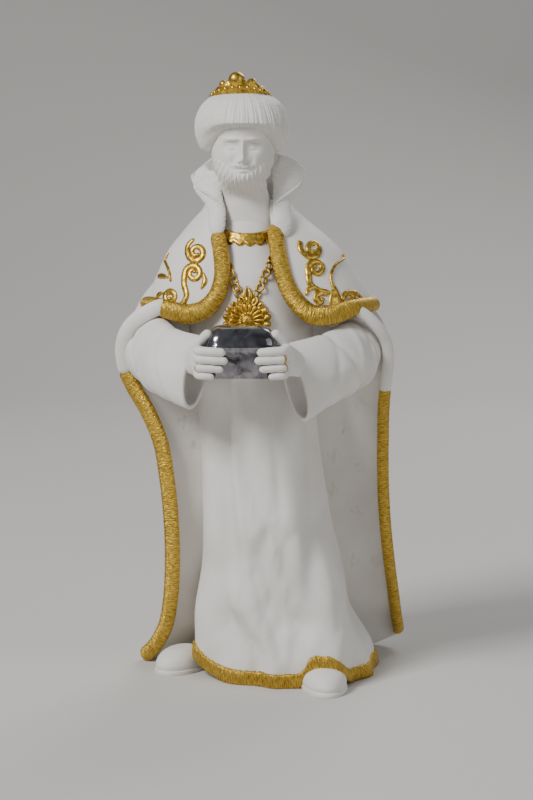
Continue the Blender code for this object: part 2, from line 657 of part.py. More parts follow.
def sleeve_rings(side, rows, columns):
    """Upright ovals along the forearm. Each narrows to its top, and the cuff's hangs lowest."""
    spec = SLEEVES[side]
    path = along(spec["path"], rows)
    share = np.linspace(0, 1, rows)
    knots = np.linspace(0, 1, len(spec["wide"]))
    wide, high = through(np.column_stack([knots, spec["wide"], spec["high"]]), share)
    flat = np.gradient(path, axis=0)
    flat[:, 2] *= 0.3
    forward = unit(flat)
    across = unit(np.cross(forward, [0, 0, 1.0]))
    upward = unit(np.cross(across, forward))
    turn = 2 * np.pi * np.arange(columns) / columns
    sine, cosine = np.sin(turn), np.cos(turn)
    pinch = 1 - 0.25 * share[:, None] * np.clip(sine, 0, 1)
    crease = 1 + 0.035 * np.sin(share * 24)[:, None] * np.clip(share * 4, 0, 1)[:, None] * (0.7 - 0.5 * sine)
    ring = across[:, None] * (cosine * wide[:, None] * pinch * crease)[..., None]
    ring = ring + upward[:, None] * (sine * high[:, None] * crease)[..., None]
    ring[..., 0] += spec["lean"] * (share**2)[:, None] * -sine
    return path[:, None] + ring, forward[-1]


def make_sleeve(side):
    """A wide sleeve, hollowed at the cuff so that the hand comes out of it, and the arm above it."""
    rings, _ = sleeve_rings(side, 20, 24)
    path = along(UPPER_ARMS[side], 5)
    outward = np.tile([0, -1.0, 0], (5, 1))
    arm = roll(f"form_arm_{side}", path, outward, UPPER_ARM_RADIUS, UPPER_ARM_RADIUS, 8, blunt=False)
    return [lofted(f"form_sleeve_{side}", rings), arm]


def make_cuff_hollow(side):
    """What is cut from the sleeve: its mouth, shrunk by the wall, carried inwards and closed to a point."""
    rings, forward = sleeve_rings(side, 20, 24)
    mouth = rings[-1]
    centre = mouth.mean(axis=0)
    reach = mouth - centre
    shrunk = reach * (1 - SLEEVE_WALL / np.linalg.norm(reach, axis=1, keepdims=True))
    steps = [(-CUFF_DEPTH, 0.4), (-CUFF_DEPTH * 0.6, 0.75), (-CUFF_DEPTH * 0.15, 0.97), (3.0, 1.05)]
    return lofted(f"cut_cuff_{side}", np.array([centre + shrunk * size + forward * shift for shift, size in steps]))


# Hands

# Casket half sizes in parts of the height
CASKET_HALF_WIDTH = CASKET_WIDTH / PART / 2
CASKET_HALF_DEPTH = CASKET_DEPTH / PART / 2
CASKET_TALL = CASKET_WALL_HEIGHT / PART
FINGER = FINGER_RADIUS / PART

# Height above the casket's underside as a share of its wall, how far in from its end the tip is,
# and the finger's thickness as a share of FINGER_RADIUS: index, middle, ring and little finger
FINGERS = [(0.86, 11.0, 1.12), (0.60, 12.2, 1.06), (0.33, 9.8, 0.95), (0.08, 5.0, 0.88)]


def make_hand(side):
    """A palm at the end of the casket, four fingers round its front and the thumb on its lid."""
    end = CASKET_PLACE[0] + side * CASKET_HALF_WIDTH
    front = CASKET_PLACE[1] - CASKET_HALF_DEPTH
    base = CASKET_PLACE[2]
    forms = []
    for i, (rise, reach, thick) in enumerate(FINGERS):
        radius = FINGER * thick
        z = base + CASKET_TALL * rise
        path = [
            (end + side * 3.8, front + 11.0, z + 1.2),
            (end + side * 3.8, front + 4.5, z + 0.8),
            (end + side * 2.2, front - 0.4, z + 0.5),
            (end - side * 2.6, front - radius * 0.75, z + 0.3),
            (end - side * reach, front - radius * 0.62, z - 0.3),
        ]
        path = along(path, 12)
        ups = np.tile([0, 0, 1.0], (len(path), 1))
        forms.append(roll(f"form_finger_{side}_{i}", path, ups, radius, radius, 8))
    thumb = along(
        [
            (end + side * 4.2, front + 14, base + CASKET_TALL * 0.80),
            (end + side * 2.2, front + 9, base + CASKET_TALL * 1.12),
            (end - side * 3.0, front + 6.0, base + CASKET_TALL * 1.46),
        ],
        5,
    )
    forms.append(roll(f"form_thumb_{side}", thumb, np.tile([0, -1.0, 0.2], (5, 1)), FINGER * 1.15, FINGER * 1.1, 6))
    elbow, cuff = np.array(SLEEVES[side]["path"][-2:], float)
    wrist = elbow + (cuff - elbow) * 0.4 + [0, 0, 4.0]
    middle = (wrist + np.array([end + side * 4.6, front + 13, base + CASKET_TALL * 0.50])) / 2
    palm = along(
        [
            wrist,
            middle,
            (end + side * 4.6, front + 13, base + CASKET_TALL * 0.50),
            (end + side * 3.6, front + 6.5, base + CASKET_TALL * 0.50),
        ],
        4,
    )
    half_width = np.array([5.5, 6.8, 8.4, 7.8])
    forms.append(roll(f"form_palm_{side}", palm, np.tile([1.0, 0, 0], (4, 1)), half_width, 3.4, 6))
    return forms


# Chain, pendant and neckband

PENDANT_CENTRE = (-5.6, 199.5)
PENDANT_RADIUS = 12.8
PENDANT_PETALS = 16
CHAIN_LINKS = 7
CHAIN_ENDS = {-1: [(-20.0, 236.5), (-12.9, 221.0), (-8.6, 209.5)], 1: [(8.6, 234.0), (3.0, 221.0), (-2.0, 209.5)]}


def chest_point(x, z, lift):
    """A point on the chest, lifted off it, and the direction the chest faces there."""
    tilt = (gown_front(x, z + 2) - gown_front(x, z - 2)) / 4
    turn = (gown_front(x + 2, z) - gown_front(x - 2, z)) / 4
    facing = np.array([turn, -1.0, tilt])
    facing = facing / np.linalg.norm(facing)
    return np.array([x, gown_front(x, z), z]) + facing * lift, facing


def make_chain():
    """Flat round links in two rows, from under the cape's fur down to the pendant."""
    forms = []
    for side, line in CHAIN_ENDS.items():
        line3 = along([(x, z, 0) for x, z in line], CHAIN_LINKS)
        for i, (x, z, _) in enumerate(line3):
            centre, facing = chest_point(x, z, 0.9)
            first = unit(np.cross(facing, [0, 0, 1.0]))
            second = np.cross(facing, first)
            turn = 2 * np.pi * np.arange(8) / 8
            outer = np.cos(turn)[:, None] * first + np.sin(turn)[:, None] * second
            rings = np.array([centre + outer * 2.1 - facing * 4.0, centre + outer * 1.9 + facing * 0.7,
                              centre + outer * 0.9 + facing * 0.1])
            forms.append(lofted(f"form_link_{side}_{i}", rings))
    return forms


def make_pendant():
    """A sunburst of narrow petals round a small boss, lying on the chest."""
    centre, facing = chest_point(*PENDANT_CENTRE, 0.4)
    facing = unit(facing + np.array([0, 0, 0.12]))
    right = unit(np.cross([0, 0, 1.0], -facing))
    upward = np.cross(right, -facing)
    upward = upward * np.sign(upward[2])
    count = PENDANT_PETALS * 2
    turn = 2 * np.pi * np.arange(count) / count
    ridge = 1.0 - np.arange(count) % 2
    radii = np.stack([0.84 + 0.16 * ridge, 0.80 + 0.16 * ridge, 0.24 + 0 * ridge, 0.17 + 0 * ridge])
    lifts = np.stack([-2.6 + 0 * ridge, 0.4 + 1.2 * ridge, 0.7 + 1.0 * ridge, 2.4 + 0 * ridge])
    outer = np.sin(turn)[:, None] * right + np.cos(turn)[:, None] * upward
    rings = centre + outer * (radii * PENDANT_RADIUS)[..., None] + facing * lifts[..., None]
    tip = along([centre + upward * 8.5 + facing * 0.6, centre + upward * 13.5 + facing * 1.4, centre + upward * 18.5 + facing * 0.8], 5)
    spike = roll("form_spike", tip, np.tile(facing, (5, 1)), np.array([1.0, 1.7, 1.9, 1.3, 0.5]), 1.1, 5, blunt=False)
    return [lofted("form_pendant", rings), spike]


def make_neckband():
    """The scalloped gold band at the neckline of the gown."""
    x = np.linspace(-19.6, 9.0, 17)
    dip = 0.012 * (x + 5.7) ** 2
    top = 244.5 + dip
    low = top - 5.6 - 1.3 * np.abs(np.cos(np.pi * np.arange(17) / 4))
    rows = []
    for z in (top + 1.0, (top + low) / 2, low):
        rows.append([chest_point(a, b, 1.0)[0] for a, b in zip(x, z)])
    front = np.array(rows)
    return slab("form_neckband", front, front + np.array([0, 5.0, 0]))


# Scrollwork on the cape

# Each scroll: the eye of its spiral (x, z), its radius, where the stem joins it in degrees, its turns,
# and the points of its stem
SCROLLS = [
    {"eye": (-32.8, 234.5), "radius": 4.6, "start": 215, "turns": 1.25, "stem": [(-34.0, 241.5), (-37.6, 237)]},
    {"eye": (-34.2, 223.6), "radius": 4.4, "start": 150, "turns": -1.25,
     "stem": [(-46.3, 206.4), (-41.0, 207.0), (-38.0, 211.5), (-39.3, 218.5)]},
    {"eye": (-46.3, 210.8), "radius": 4.0, "start": 270, "turns": -1.1, "stem": []},
    {"eye": (29.1, 236.2), "radius": 4.6, "start": 215, "turns": 1.25, "stem": [(22.4, 241.0), (23.2, 235.6)]},
    {"eye": (31.2, 226.1), "radius": 4.6, "start": 200, "turns": -1.25,
     "stem": [(38.6, 213.6), (33.0, 215.0), (27.8, 218.6)]},
    {"eye": (33.4, 210.6), "radius": 3.6, "start": 20, "turns": 0.9, "stem": []},
    {"eye": (49.0, 210.0), "radius": 3.6, "start": 200, "turns": -0.9, "stem": []},
]
STEMS = [
    [(-53.0, 233.0), (-50.2, 228.9), (-47.4, 223.5), (-46.4, 218.5)],
    [(41.0, 213.0), (39.0, 222.5), (41.1, 227.0), (46.6, 230.4), (50.0, 232.8)],
    [(41.4, 205.5), (41.2, 210.5), (41.0, 216.5)],
]
SCROLL_WIDTH = 1.5
SCROLL_HEIGHT = 1.2


def spiral(eye, radius, start, turns):
    """A spiral in x and z that winds in from its rim to its eye."""
    share = np.linspace(0, 1, int(abs(turns) * 16))
    angle = math.radians(start) + 2 * math.pi * turns * share
    size = radius * (1 - 0.66 * share)
    return np.column_stack([eye[0] + size * np.cos(angle), eye[1] + size * np.sin(angle)])


def on_cape(line):
    """A line seen from the front, laid on the cape, with the direction the cape faces."""
    turn = np.array([cape_turn(x, z) for x, z in line])
    z = np.array([z for _, z in line])
    return cape_point(turn, z), cape_normal(turn, z)


def make_scrolls():
    forms = []
    for i, scroll in enumerate(SCROLLS):
        curl = spiral(scroll["eye"], scroll["radius"], scroll["start"], scroll["turns"])
        line = np.array(scroll["stem"] + curl.tolist())
        path, normal = on_cape(line)
        forms.append(roll(f"form_scroll_{i}", path, normal, SCROLL_WIDTH, SCROLL_HEIGHT, 4))
    for i, stem in enumerate(STEMS):
        path, normal = on_cape(stem)
        wide = 1.1 if i < 2 else np.array([4.6, 3.6, 1.4])
        forms.append(roll(f"form_stem_{i}", path, normal, wide, SCROLL_HEIGHT, 4))
    return forms


# Shoes

# Heel x and y, toe x and y, half width
SHOES = {"left": ((-33.0, 18.0), (-53.0, -12.0), 12.0), "right": ((34.0, -12.0), (37.5, -59.5), 12.5)}
SHOE_HEIGHT = 13.0
SOLE = 2.2


def make_shoe(name):
    """A soft round-toed shoe on a thin sole that stands a little proud of it."""
    heel, toe, half = SHOES[name]
    heel, toe = np.array([*heel, 0.0]), np.array([*toe, 0.0])
    length = np.linalg.norm(toe - heel)
    forward = (toe - heel) / length
    across = np.array([-forward[1], forward[0], 0.0])
    turn = 2 * np.pi * np.arange(24) / 24
    outline = (np.cos(turn)[:, None] * forward * length / 2 * 1.02 + np.sin(turn)[:, None] * across * half)
    centre = (heel + toe) / 2
    levels = [(-1.5, 1.0), (SOLE, 1.0), (SOLE + 0.3, 0.95), (5.0, 0.97), (8.0, 0.9), (10.5, 0.75), (12.2, 0.55), (SHOE_HEIGHT, 0.3)]
    rings = [centre + outline * size + np.array([0, 0, z]) for z, size in levels]
    return lofted(f"form_shoe_{name}", np.array(rings))


# Casket


def casket_outline(half_width, half_depth, corner, count=5):
    """A rectangle with round corners, as points counted from the right front corner."""
    corner = min(corner, half_width * 0.9, half_depth * 0.9)
    points = []
    for k in range(4):
        sx, sy = (1, 1, -1, -1)[k], (-1, 1, 1, -1)[k]
        for j in range(count):
            angle = math.radians(-90 + 90 * k + 90 * j / (count - 1))
            points.append((sx * (half_width - corner) + corner * math.cos(angle),
                           sy * (half_depth - corner) + corner * math.sin(angle)))
    return np.array(points)


def casket_rings(grow=0.0):
    """The casket from its underside to the top of its lid. `grow` widens it all round, for the seat."""
    wall, rise = CASKET_TALL, CASKET_LID_RISE / PART
    rim = CASKET_RIM / PART
    # Height, inset from the wall, and which way the surface faces there: -1 down, 1 up
    levels = [
        (0.0, -1.6, -1), (0.9, -0.4, -1), (wall * 0.5, 0.0, 0), (wall - 1.6, 0.0, -1), (wall - 1.3, rim, -1),
        (wall + 0.3, rim, 1), (wall + 0.8, -0.4, 1), (wall + rise * 0.5, -1.8, 1),
        (wall + rise * 0.85, -4.6, 1), (wall + rise, -8.5, 1),
    ]
    rings = []
    for z, inset, facing in levels:
        flat = casket_outline(CASKET_HALF_WIDTH + inset + grow, CASKET_HALF_DEPTH + inset + grow,
                              CASKET_CORNER / PART + inset * 0.5 + grow)
        rings.append(np.column_stack([flat, np.full(len(flat), z + facing * grow)]) + CASKET_PLACE)
    return np.array(rings)


# Assembly


def material(name, colour, roughness, metallic):
    made = bpy.data.materials.new(name)
    made.use_nodes = True
    shader = made.node_tree.nodes["Principled BSDF"]
    shader.inputs["Base Color"].default_value = (*colour, 1.0)
    shader.inputs["Roughness"].default_value = roughness
    shader.inputs["Metallic"].default_value = metallic
    return made


def put(collection, forms):
    for form in forms:
        collection.objects.link(form)


def boolean(target, name, operation, collection):
    """One Boolean with all the forms of a collection. The exact solver leaves open slivers here."""
    cut = target.modifiers.new(name, "BOOLEAN")
    cut.operation = operation
    cut.solver = "MANIFOLD"
    cut.operand_type = "COLLECTION"
    cut.collection = collection


def main():
    for old in list(bpy.data.objects):
        bpy.data.objects.remove(old)
    scene = bpy.context.scene.collection
    joined = bpy.data.collections.new("forms of the figure")
    cut_away = bpy.data.collections.new("cut from the figure")
    scene.children.link(joined)
    scene.children.link(cut_away)

    put(joined, [make_sole(), make_cloak(), make_cape(), make_cape_trim(), make_collar(), make_head(), make_hat()])
    put(joined, [make_edge_roll(-1), make_edge_roll(1), make_facing(-1), make_facing(1)])
    put(joined, make_sleeve(-1) + make_sleeve(1))
    put(joined, make_crown() + make_chain() + make_pendant() + [make_neckband()] + make_scrolls())
    put(joined, [make_shoe("left"), make_shoe("right")])

    figure = make_gown()
    figure.name = "figure"
    figure.hide_render = False
    figure.display_type = "TEXTURED"
    scene.objects.link(figure)
    figure.data.materials.append(material("biscuit porcelain", (0.83, 0.80, 0.76), 0.7, 0.0))
    boolean(figure, "join the forms", "UNION", joined)

    put(cut_away, [make_cuff_hollow(-1), make_cuff_hollow(1)])
    boolean(figure, "hollow the cuffs", "DIFFERENCE", cut_away)

    hands = bpy.data.collections.new("hands")
    scene.children.link(hands)
    put(hands, make_hand(-1) + make_hand(1))
    boolean(figure, "join the hands", "UNION", hands)
    lighter = figure.modifiers.new("fewer facets where it is smooth", "DECIMATE")
    lighter.ratio = FACET_SHARE

    seat = bpy.data.collections.new("seat of the casket")
    scene.children.link(seat)
    put(seat, [lofted("cut_seat", casket_rings(SEAT_GAP / PART)), make_ground()])
    boolean(figure, "seat the casket and level the underside", "DIFFERENCE", seat)

    casket = lofted("casket", casket_rings())
    casket.hide_render = False
    casket.display_type = "TEXTURED"
    scene.objects.link(casket)
    casket.data.materials.append(material("platinum lustre", (0.55, 0.55, 0.57), 0.12, 1.0))


main()
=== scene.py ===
"""Standing wise man from a nativity set: biscuit porcelain, gilt borders and a platinum casket.

Every surface is a grid of points worked out in millimetres, in the frame of the CAD: the figure faces
-Y and stands on Z = 0. Each section makes one part of the figure, with its sizes, mesh and finish.
"""

import math

import bpy
import numpy as np
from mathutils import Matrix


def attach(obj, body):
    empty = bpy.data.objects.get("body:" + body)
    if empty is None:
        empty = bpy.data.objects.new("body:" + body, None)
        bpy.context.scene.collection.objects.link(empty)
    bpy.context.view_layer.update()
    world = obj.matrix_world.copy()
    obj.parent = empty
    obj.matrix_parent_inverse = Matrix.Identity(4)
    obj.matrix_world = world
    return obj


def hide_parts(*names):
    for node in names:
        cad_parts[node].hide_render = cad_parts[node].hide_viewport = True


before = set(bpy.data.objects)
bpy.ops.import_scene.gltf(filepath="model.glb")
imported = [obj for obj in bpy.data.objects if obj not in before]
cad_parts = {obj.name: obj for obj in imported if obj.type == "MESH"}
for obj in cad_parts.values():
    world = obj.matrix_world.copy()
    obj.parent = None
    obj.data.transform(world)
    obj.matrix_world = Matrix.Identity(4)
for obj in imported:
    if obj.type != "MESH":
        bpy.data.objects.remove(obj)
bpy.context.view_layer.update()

# Camera, floor and light
# The photograph was taken from a little above the waist, from about 1.25 m, on a long lens.
# The floor is pale and plain, and the light is two soft boxes with a weak even sky.

MM = 0.001
CAMERA_PLACE = (0.00466, -1.23784, 0.3260)
CAMERA_PITCH = 82.0
CAMERA_LENS = 102.60
FLOOR_COLOUR = "#C9C6C1"
SKY_COLOUR = "#DADDE2"
SKY_STRENGTH = 0.27
# The backdrop: how wide it is to each side, where it starts and its bend begins, its radius and its height
BACKDROP_SIDE = 4.0
BACKDROP_START = -2.5
BACKDROP_BEND = 1.1
BACKDROP_RADIUS = 0.9
BACKDROP_TOP = 3.5
# Place, aim, size and power of each soft box, in metres and watts
SOFT_BOXES = {
    "key": ((-1.05, -0.95, 1.35), (0.0, 0.0, 0.17), 0.55, 34.0),
    "fill": ((1.35, -0.85, 0.75), (0.0, 0.0, 0.15), 1.1, 6.0),
    "rim": ((0.55, 1.15, 1.05), (0.0, 0.0, 0.20), 0.7, 9.0),
}


def colour(hex_code, alpha=1.0):
    """The linear colour of an sRGB hex code: each channel divided by 255, then through the sRGB curve."""
    channels = [int(hex_code[i : i + 2], 16) / 255 for i in (1, 3, 5)]
    return (*[c / 12.92 if c <= 0.04045 else ((c + 0.055) / 1.055) ** 2.4 for c in channels], alpha)


def add(tree, kind, inputs=None, **settings):
    """A node of a kind with its settings. Each input is a value, or a socket that is linked to it."""
    made = tree.nodes.new(kind)
    for name, value in settings.items():
        setattr(made, name, value)
    for name, value in (inputs or {}).items():
        if isinstance(value, bpy.types.NodeSocket):
            tree.links.new(value, made.inputs[name])
        else:
            made.inputs[name].default_value = value
    return made


def finish_named(name):
    """A new material, its node tree and the shader that stands in it from the start."""
    made = bpy.data.materials.new(name)
    made.use_nodes = True
    return made, made.node_tree, made.node_tree.nodes["Principled BSDF"]


camera = bpy.data.objects.new("camera", bpy.data.cameras.new("camera"))
camera.data.lens = CAMERA_LENS
camera.data.sensor_width = 36.0
camera.location = CAMERA_PLACE
camera.rotation_euler = (math.radians(CAMERA_PITCH), 0, 0)
bpy.context.scene.collection.objects.link(camera)
bpy.context.scene.camera = camera

sky = bpy.data.worlds.new("sky")
sky.use_nodes = True
sky.node_tree.nodes["Background"].inputs["Color"].default_value = colour(SKY_COLOUR)
sky.node_tree.nodes["Background"].inputs["Strength"].default_value = SKY_STRENGTH
bpy.context.scene.world = sky

for light_name, (place, aim, size, power) in SOFT_BOXES.items():
    light = bpy.data.lights.new(light_name, "AREA")
    light.energy = power
    light.size = size
    lamp = bpy.data.objects.new(light_name, light)
    lamp.location = place
    away = np.array(place) - np.array(aim)
    level = math.hypot(away[0], away[1])
    lamp.rotation_euler = (math.atan2(level, away[2]), 0, math.atan2(away[0], -away[1]))
    bpy.context.scene.collection.objects.link(lamp)

# The floor bends up behind in a quarter circle, as a paper backdrop does
bend = np.radians(np.linspace(0, 90, 25))
bend_y = BACKDROP_BEND + BACKDROP_RADIUS * np.sin(bend)
bend_z = BACKDROP_RADIUS - BACKDROP_RADIUS * np.cos(bend)
sweep_y = np.concatenate([[BACKDROP_START], bend_y, [BACKDROP_BEND + BACKDROP_RADIUS]])
sweep_z = np.concatenate([[0.0], bend_z, [BACKDROP_TOP]])
sweep = [(x, y, z) for y, z in zip(sweep_y, sweep_z) for x in (-BACKDROP_SIDE, BACKDROP_SIDE)]
strips = [(2 * k, 2 * k + 1, 2 * k + 3, 2 * k + 2) for k in range(len(sweep_y) - 1)]
floor_mesh = bpy.data.meshes.new("floor")
floor_mesh.from_pydata(sweep, [], strips)
floor_mesh.polygons.foreach_set("use_smooth", np.ones(len(floor_mesh.polygons), bool))
floor = bpy.data.objects.new("floor", floor_mesh)
floor_finish, floor_tree, floor_shader = finish_named("floor")
floor_shader.inputs["Base Color"].default_value = colour(FLOOR_COLOUR)
floor_shader.inputs["Roughness"].default_value = 0.85
floor_mesh.materials.append(floor_finish)
bpy.context.scene.collection.objects.link(floor)

# Finishes
# Unglazed porcelain is matt, a little translucent and very finely grained. The gold is burnished on
# its ridges, and painted darker in its grooves as shade. The casket is glazed and fired with platinum, like
# dark silver.


def porcelain(name, strand_depth=0.0):
    """Biscuit: two near whites mixed by slow noise, fine grain, and strands where a depth is given."""
    made, tree, shader = finish_named(name)
    place = add(tree, "ShaderNodeTexCoord")
    slow = add(tree, "ShaderNodeTexNoise", {"Vector": place.outputs["Object"], "Scale": 34.0, "Detail": 3.0})
    tone = add(tree, "ShaderNodeValToRGB", {"Fac": slow.outputs["Fac"]})
    tone.color_ramp.elements[0].position = 0.32
    tone.color_ramp.elements[0].color = colour("#DCD8D2")
    tone.color_ramp.elements[1].position = 0.68
    tone.color_ramp.elements[1].color = colour("#E8E5E0")
    grain = add(tree, "ShaderNodeTexNoise", {"Vector": place.outputs["Object"], "Scale": 1500.0,
                                             "Detail": 2.0})
    bump = add(tree, "ShaderNodeBump", {"Height": grain.outputs["Fac"], "Strength": 0.10, "Distance": 0.0002})
    if strand_depth:
        flat = add(tree, "ShaderNodeMapping", {"Vector": place.outputs["UV"], "Scale": (0.95, 0.16, 1.0)})
        fur = add(tree, "ShaderNodeTexNoise", {"Vector": flat.outputs["Vector"], "Scale": 1.0, "Detail": 3.0})
        bump = add(tree, "ShaderNodeBump", {"Height": fur.outputs["Fac"], "Strength": 0.8,
                                            "Distance": strand_depth, "Normal": bump.outputs["Normal"]})
    tree.links.new(tone.outputs["Color"], shader.inputs["Base Color"])
    tree.links.new(bump.outputs["Normal"], shader.inputs["Normal"])
    shader.inputs["Roughness"].default_value = 0.62
    shader.inputs["Subsurface Weight"].default_value = 0.10
    shader.inputs["Subsurface Radius"].default_value = (1.0, 0.8, 0.6)
    shader.inputs["Subsurface Scale"].default_value = 0.0015
    return made


def gilding(name, strands=(1.1, 0.22), depth=0.0007):
    """Gold: noise stretched into strands over the UV gives the grooves, their roughness, and painted shade
    that darkens the gold in them.
    """
    made, tree, shader = finish_named(name)
    place = add(tree, "ShaderNodeTexCoord")
    flat = add(tree, "ShaderNodeMapping", {"Vector": place.outputs["UV"], "Scale": (*strands, 1.0),
                                           "Rotation": (0.0, 0.0, 0.6)})
    fur = add(tree, "ShaderNodeTexNoise", {"Vector": flat.outputs["Vector"], "Scale": 1.0, "Detail": 4.0,
                                           "Roughness": 0.6, "Distortion": 0.4})
    # Painted shade: the gold is coloured darker where the strand noise is low, in the grooves of the bump.
    tone = add(tree, "ShaderNodeValToRGB", {"Fac": fur.outputs["Fac"]})
    tone.color_ramp.elements[0].position = 0.34
    tone.color_ramp.elements[0].color = colour("#8E6A22")
    tone.color_ramp.elements[1].position = 0.60
    tone.color_ramp.elements[1].color = colour("#E3BF55")
    worn = add(tree, "ShaderNodeMapRange", {"Value": fur.outputs["Fac"], "From Min": 0.3, "From Max": 0.7,
                                            "To Min": 0.46, "To Max": 0.27})
    bump = add(tree, "ShaderNodeBump", {"Height": fur.outputs["Fac"], "Strength": 0.9, "Distance": depth})
    tree.links.new(tone.outputs["Color"], shader.inputs["Base Color"])
    tree.links.new(worn.outputs["Result"], shader.inputs["Roughness"])
    tree.links.new(bump.outputs["Normal"], shader.inputs["Normal"])
    shader.inputs["Metallic"].default_value = 1.0
    return made


def lustre(name):
    """Platinum over glaze: a dark mirror whose slow waves, from stretched noise, bend what it reflects."""
    made, tree, shader = finish_named(name)
    place = add(tree, "ShaderNodeTexCoord")
    waves = add(tree, "ShaderNodeTexNoise", {"Vector": place.outputs["Object"], "Scale": 120.0, "Detail": 2.0,
                                             "Distortion": 0.8})
    bump = add(tree, "ShaderNodeBump", {"Height": waves.outputs["Fac"], "Strength": 0.35, "Distance": 0.0012})
    smoke = add(tree, "ShaderNodeValToRGB", {"Fac": waves.outputs["Fac"]})
    smoke.color_ramp.elements[0].position = 0.35
    smoke.color_ramp.elements[0].color = colour("#5E5C61")
    smoke.color_ramp.elements[1].position = 0.70
    smoke.color_ramp.elements[1].color = colour("#A9A8AD")
    tree.links.new(smoke.outputs["Color"], shader.inputs["Base Color"])
    tree.links.new(bump.outputs["Normal"], shader.inputs["Normal"])
    shader.inputs["Metallic"].default_value = 1.0
    shader.inputs["Roughness"].default_value = 0.16
    return made


BISCUIT = porcelain("biscuit_porcelain")
FUR = porcelain("biscuit_carved_as_fur", 0.0006)
GOLD_FUR = gilding("gilded_fur", (1.9, 0.34), 0.0010)
GOLD = gilding("burnished_gold", (0.5, 0.5), 0.00035)
PLATINUM = lustre("platinum_lustre")

# Gown
# A long gown that falls in soft folds to the ground and rises over both shoes. Its section is fuller
# than an ellipse in front. Each fold is a stroke that lifts or sinks the clay along a line.

# Height, centre x, centre y, half width, depth to the front, depth to the back
GOWN_SECTIONS = [
    (0, 16.5, 14, 49, 51, 34),
    (12, 16, 13, 47.5, 51, 34),
    (35, 10, 12, 41, 49, 34),
    (70, 5, 10, 35, 48, 32),
    (100, 3, 9, 32.5, 47, 30),
    (145, 0, 8, 31.5, 46, 28),
    (175, -3, 8, 33, 46, 26),
    (205, -4.5, 7, 34, 43, 24),
    (225, -5.5, 5, 29, 34, 20),
    (240, -5.5, 2, 19, 22, 16),
    (251, -5.5, 0, 13.5, 14.5, 13),
]
GOWN_TOP = 251.0
GOWN_SQUARENESS = 2.25
HEM_BAND = 8.0
HEM_CLEAR = 0.4
# The humps of the hem over the shoes: rise, centre x and y, half lengths along both, and squareness
HEM_HUMPS = [(9.5, -38, 4, 13, 30, 2), (11.5, 37, -32, 11, 24, 4)]
# Ripples round the hem: how many, how deep, and how far up they reach
HEM_RIPPLES = 11
HEM_RIPPLE_DEPTH = 1.3
HEM_RIPPLE_TOP = 22.0
# How deep the folds are cut and the share at which heights count in them,
# then the lift, width and line of each, as x and z seen from the front
FOLD_DEPTH = 1.15
FOLD_STRETCH = 0.38
GOWN_FOLDS = [
    (-3.2, 5.5, [(-11, 134), (-4, 110), (6, 90), (14, 80)]),
    (-2.8, 5.0, [(3, 74), (9, 54), (14, 41), (22, 33)]),
    (-2.6, 4.5, [(-18, 34), (-7, 29), (0, 17)]),
    (-2.8, 5.0, [(27, 160), (28, 130), (28, 92), (27, 58)]),
    (-3.6, 6.5, [(-21, 150), (-20, 126), (-17, 96), (-15, 70)]),
    (-3.4, 5.5, [(-23, 60), (-20, 40), (-14, 22)]),
    (-2.0, 5.0, [(-6, 162), (-4, 146)]),
    (2.4, 5.5, [(36, 152), (36, 103), (36, 66), (40, 30)]),
    (2.6, 5.0, [(2, 84), (8, 62), (16, 34), (25, 24)]),
    (2.4, 5.0, [(-13, 46), (-6, 38), (4, 26), (9, 12)]),
    (3.2, 13.0, [(18, 140), (19, 108), (16, 88)]),
    (2.2, 5.0, [(-28, 144), (-26, 104), (-24, 68)]),
    (1.8, 5.0, [(-8, 92), (-6, 70), (0, 50)]),
    (8.0, 12.0, [(33, 44), (37, 6)]),
    (4.5, 11.0, [(-31, 30), (-35, 8)]),
    (-1.1, 2.4, [(8, 150), (10, 120), (12, 96)]),
    (-1.2, 2.4, [(-2, 60), (4, 40), (12, 22)]),
    (1.0, 2.6, [(-15, 140), (-13, 112), (-9, 84)]),
    (-1.2, 2.6, [(33, 90), (35, 60), (38, 34)]),
]


def through(rows, at):
    """A cubic curve through rows of (position, values), with the slope at each row from its neighbours."""
    rows = np.array(rows, float)
    place, value = rows[:, 0], rows[:, 1:]
    slope = np.gradient(value, place, axis=0)
    at = np.clip(np.asarray(at, float), place[0], place[-1])
    i = np.clip(np.searchsorted(place, at, side="right") - 1, 0, len(place) - 2)
    span = (place[i + 1] - place[i])[..., None]
    t = (at - place[i])[..., None] / span
    start = (2 * t**3 - 3 * t**2 + 1) * value[i] + (t**3 - 2 * t**2 + t) * span * slope[i]
    end = (3 * t**2 - 2 * t**3) * value[i + 1] + (t**3 - t**2) * span * slope[i + 1]
    return np.moveaxis(start + end, -1, 0)


def strokes(x, z, marks):
    """The sum over strokes of lift times exp(-(distance / width) squared), drawn out along the height."""
    total = np.zeros(np.broadcast(x, z).shape)
    for lift, width, line in marks:
        nearest = np.full(total.shape, 1e9)
        for (xa, za), (xb, zb) in zip(line, line[1:]):
            dx, dz = xb - xa, zb - za
            t = np.clip(((x - xa) * dx + (z - za) * dz) / (dx * dx + dz * dz), 0, 1)
            nearest = np.minimum(nearest, np.hypot(x - xa - t * dx, FOLD_STRETCH * (z - za - t * dz)))
        total += lift * np.exp(-((nearest / width) ** 2))
    return total


def hem_height(x, y):
    """Height of the hem: just off the ground, with one smooth hump over each shoe."""
    height = HEM_CLEAR
    for rise, cx, cy, wide, deep, power in HEM_HUMPS:
        height = height + rise * np.exp(-(((x - cx) / wide) ** power) - ((y - cy) / deep) ** power)
    return height


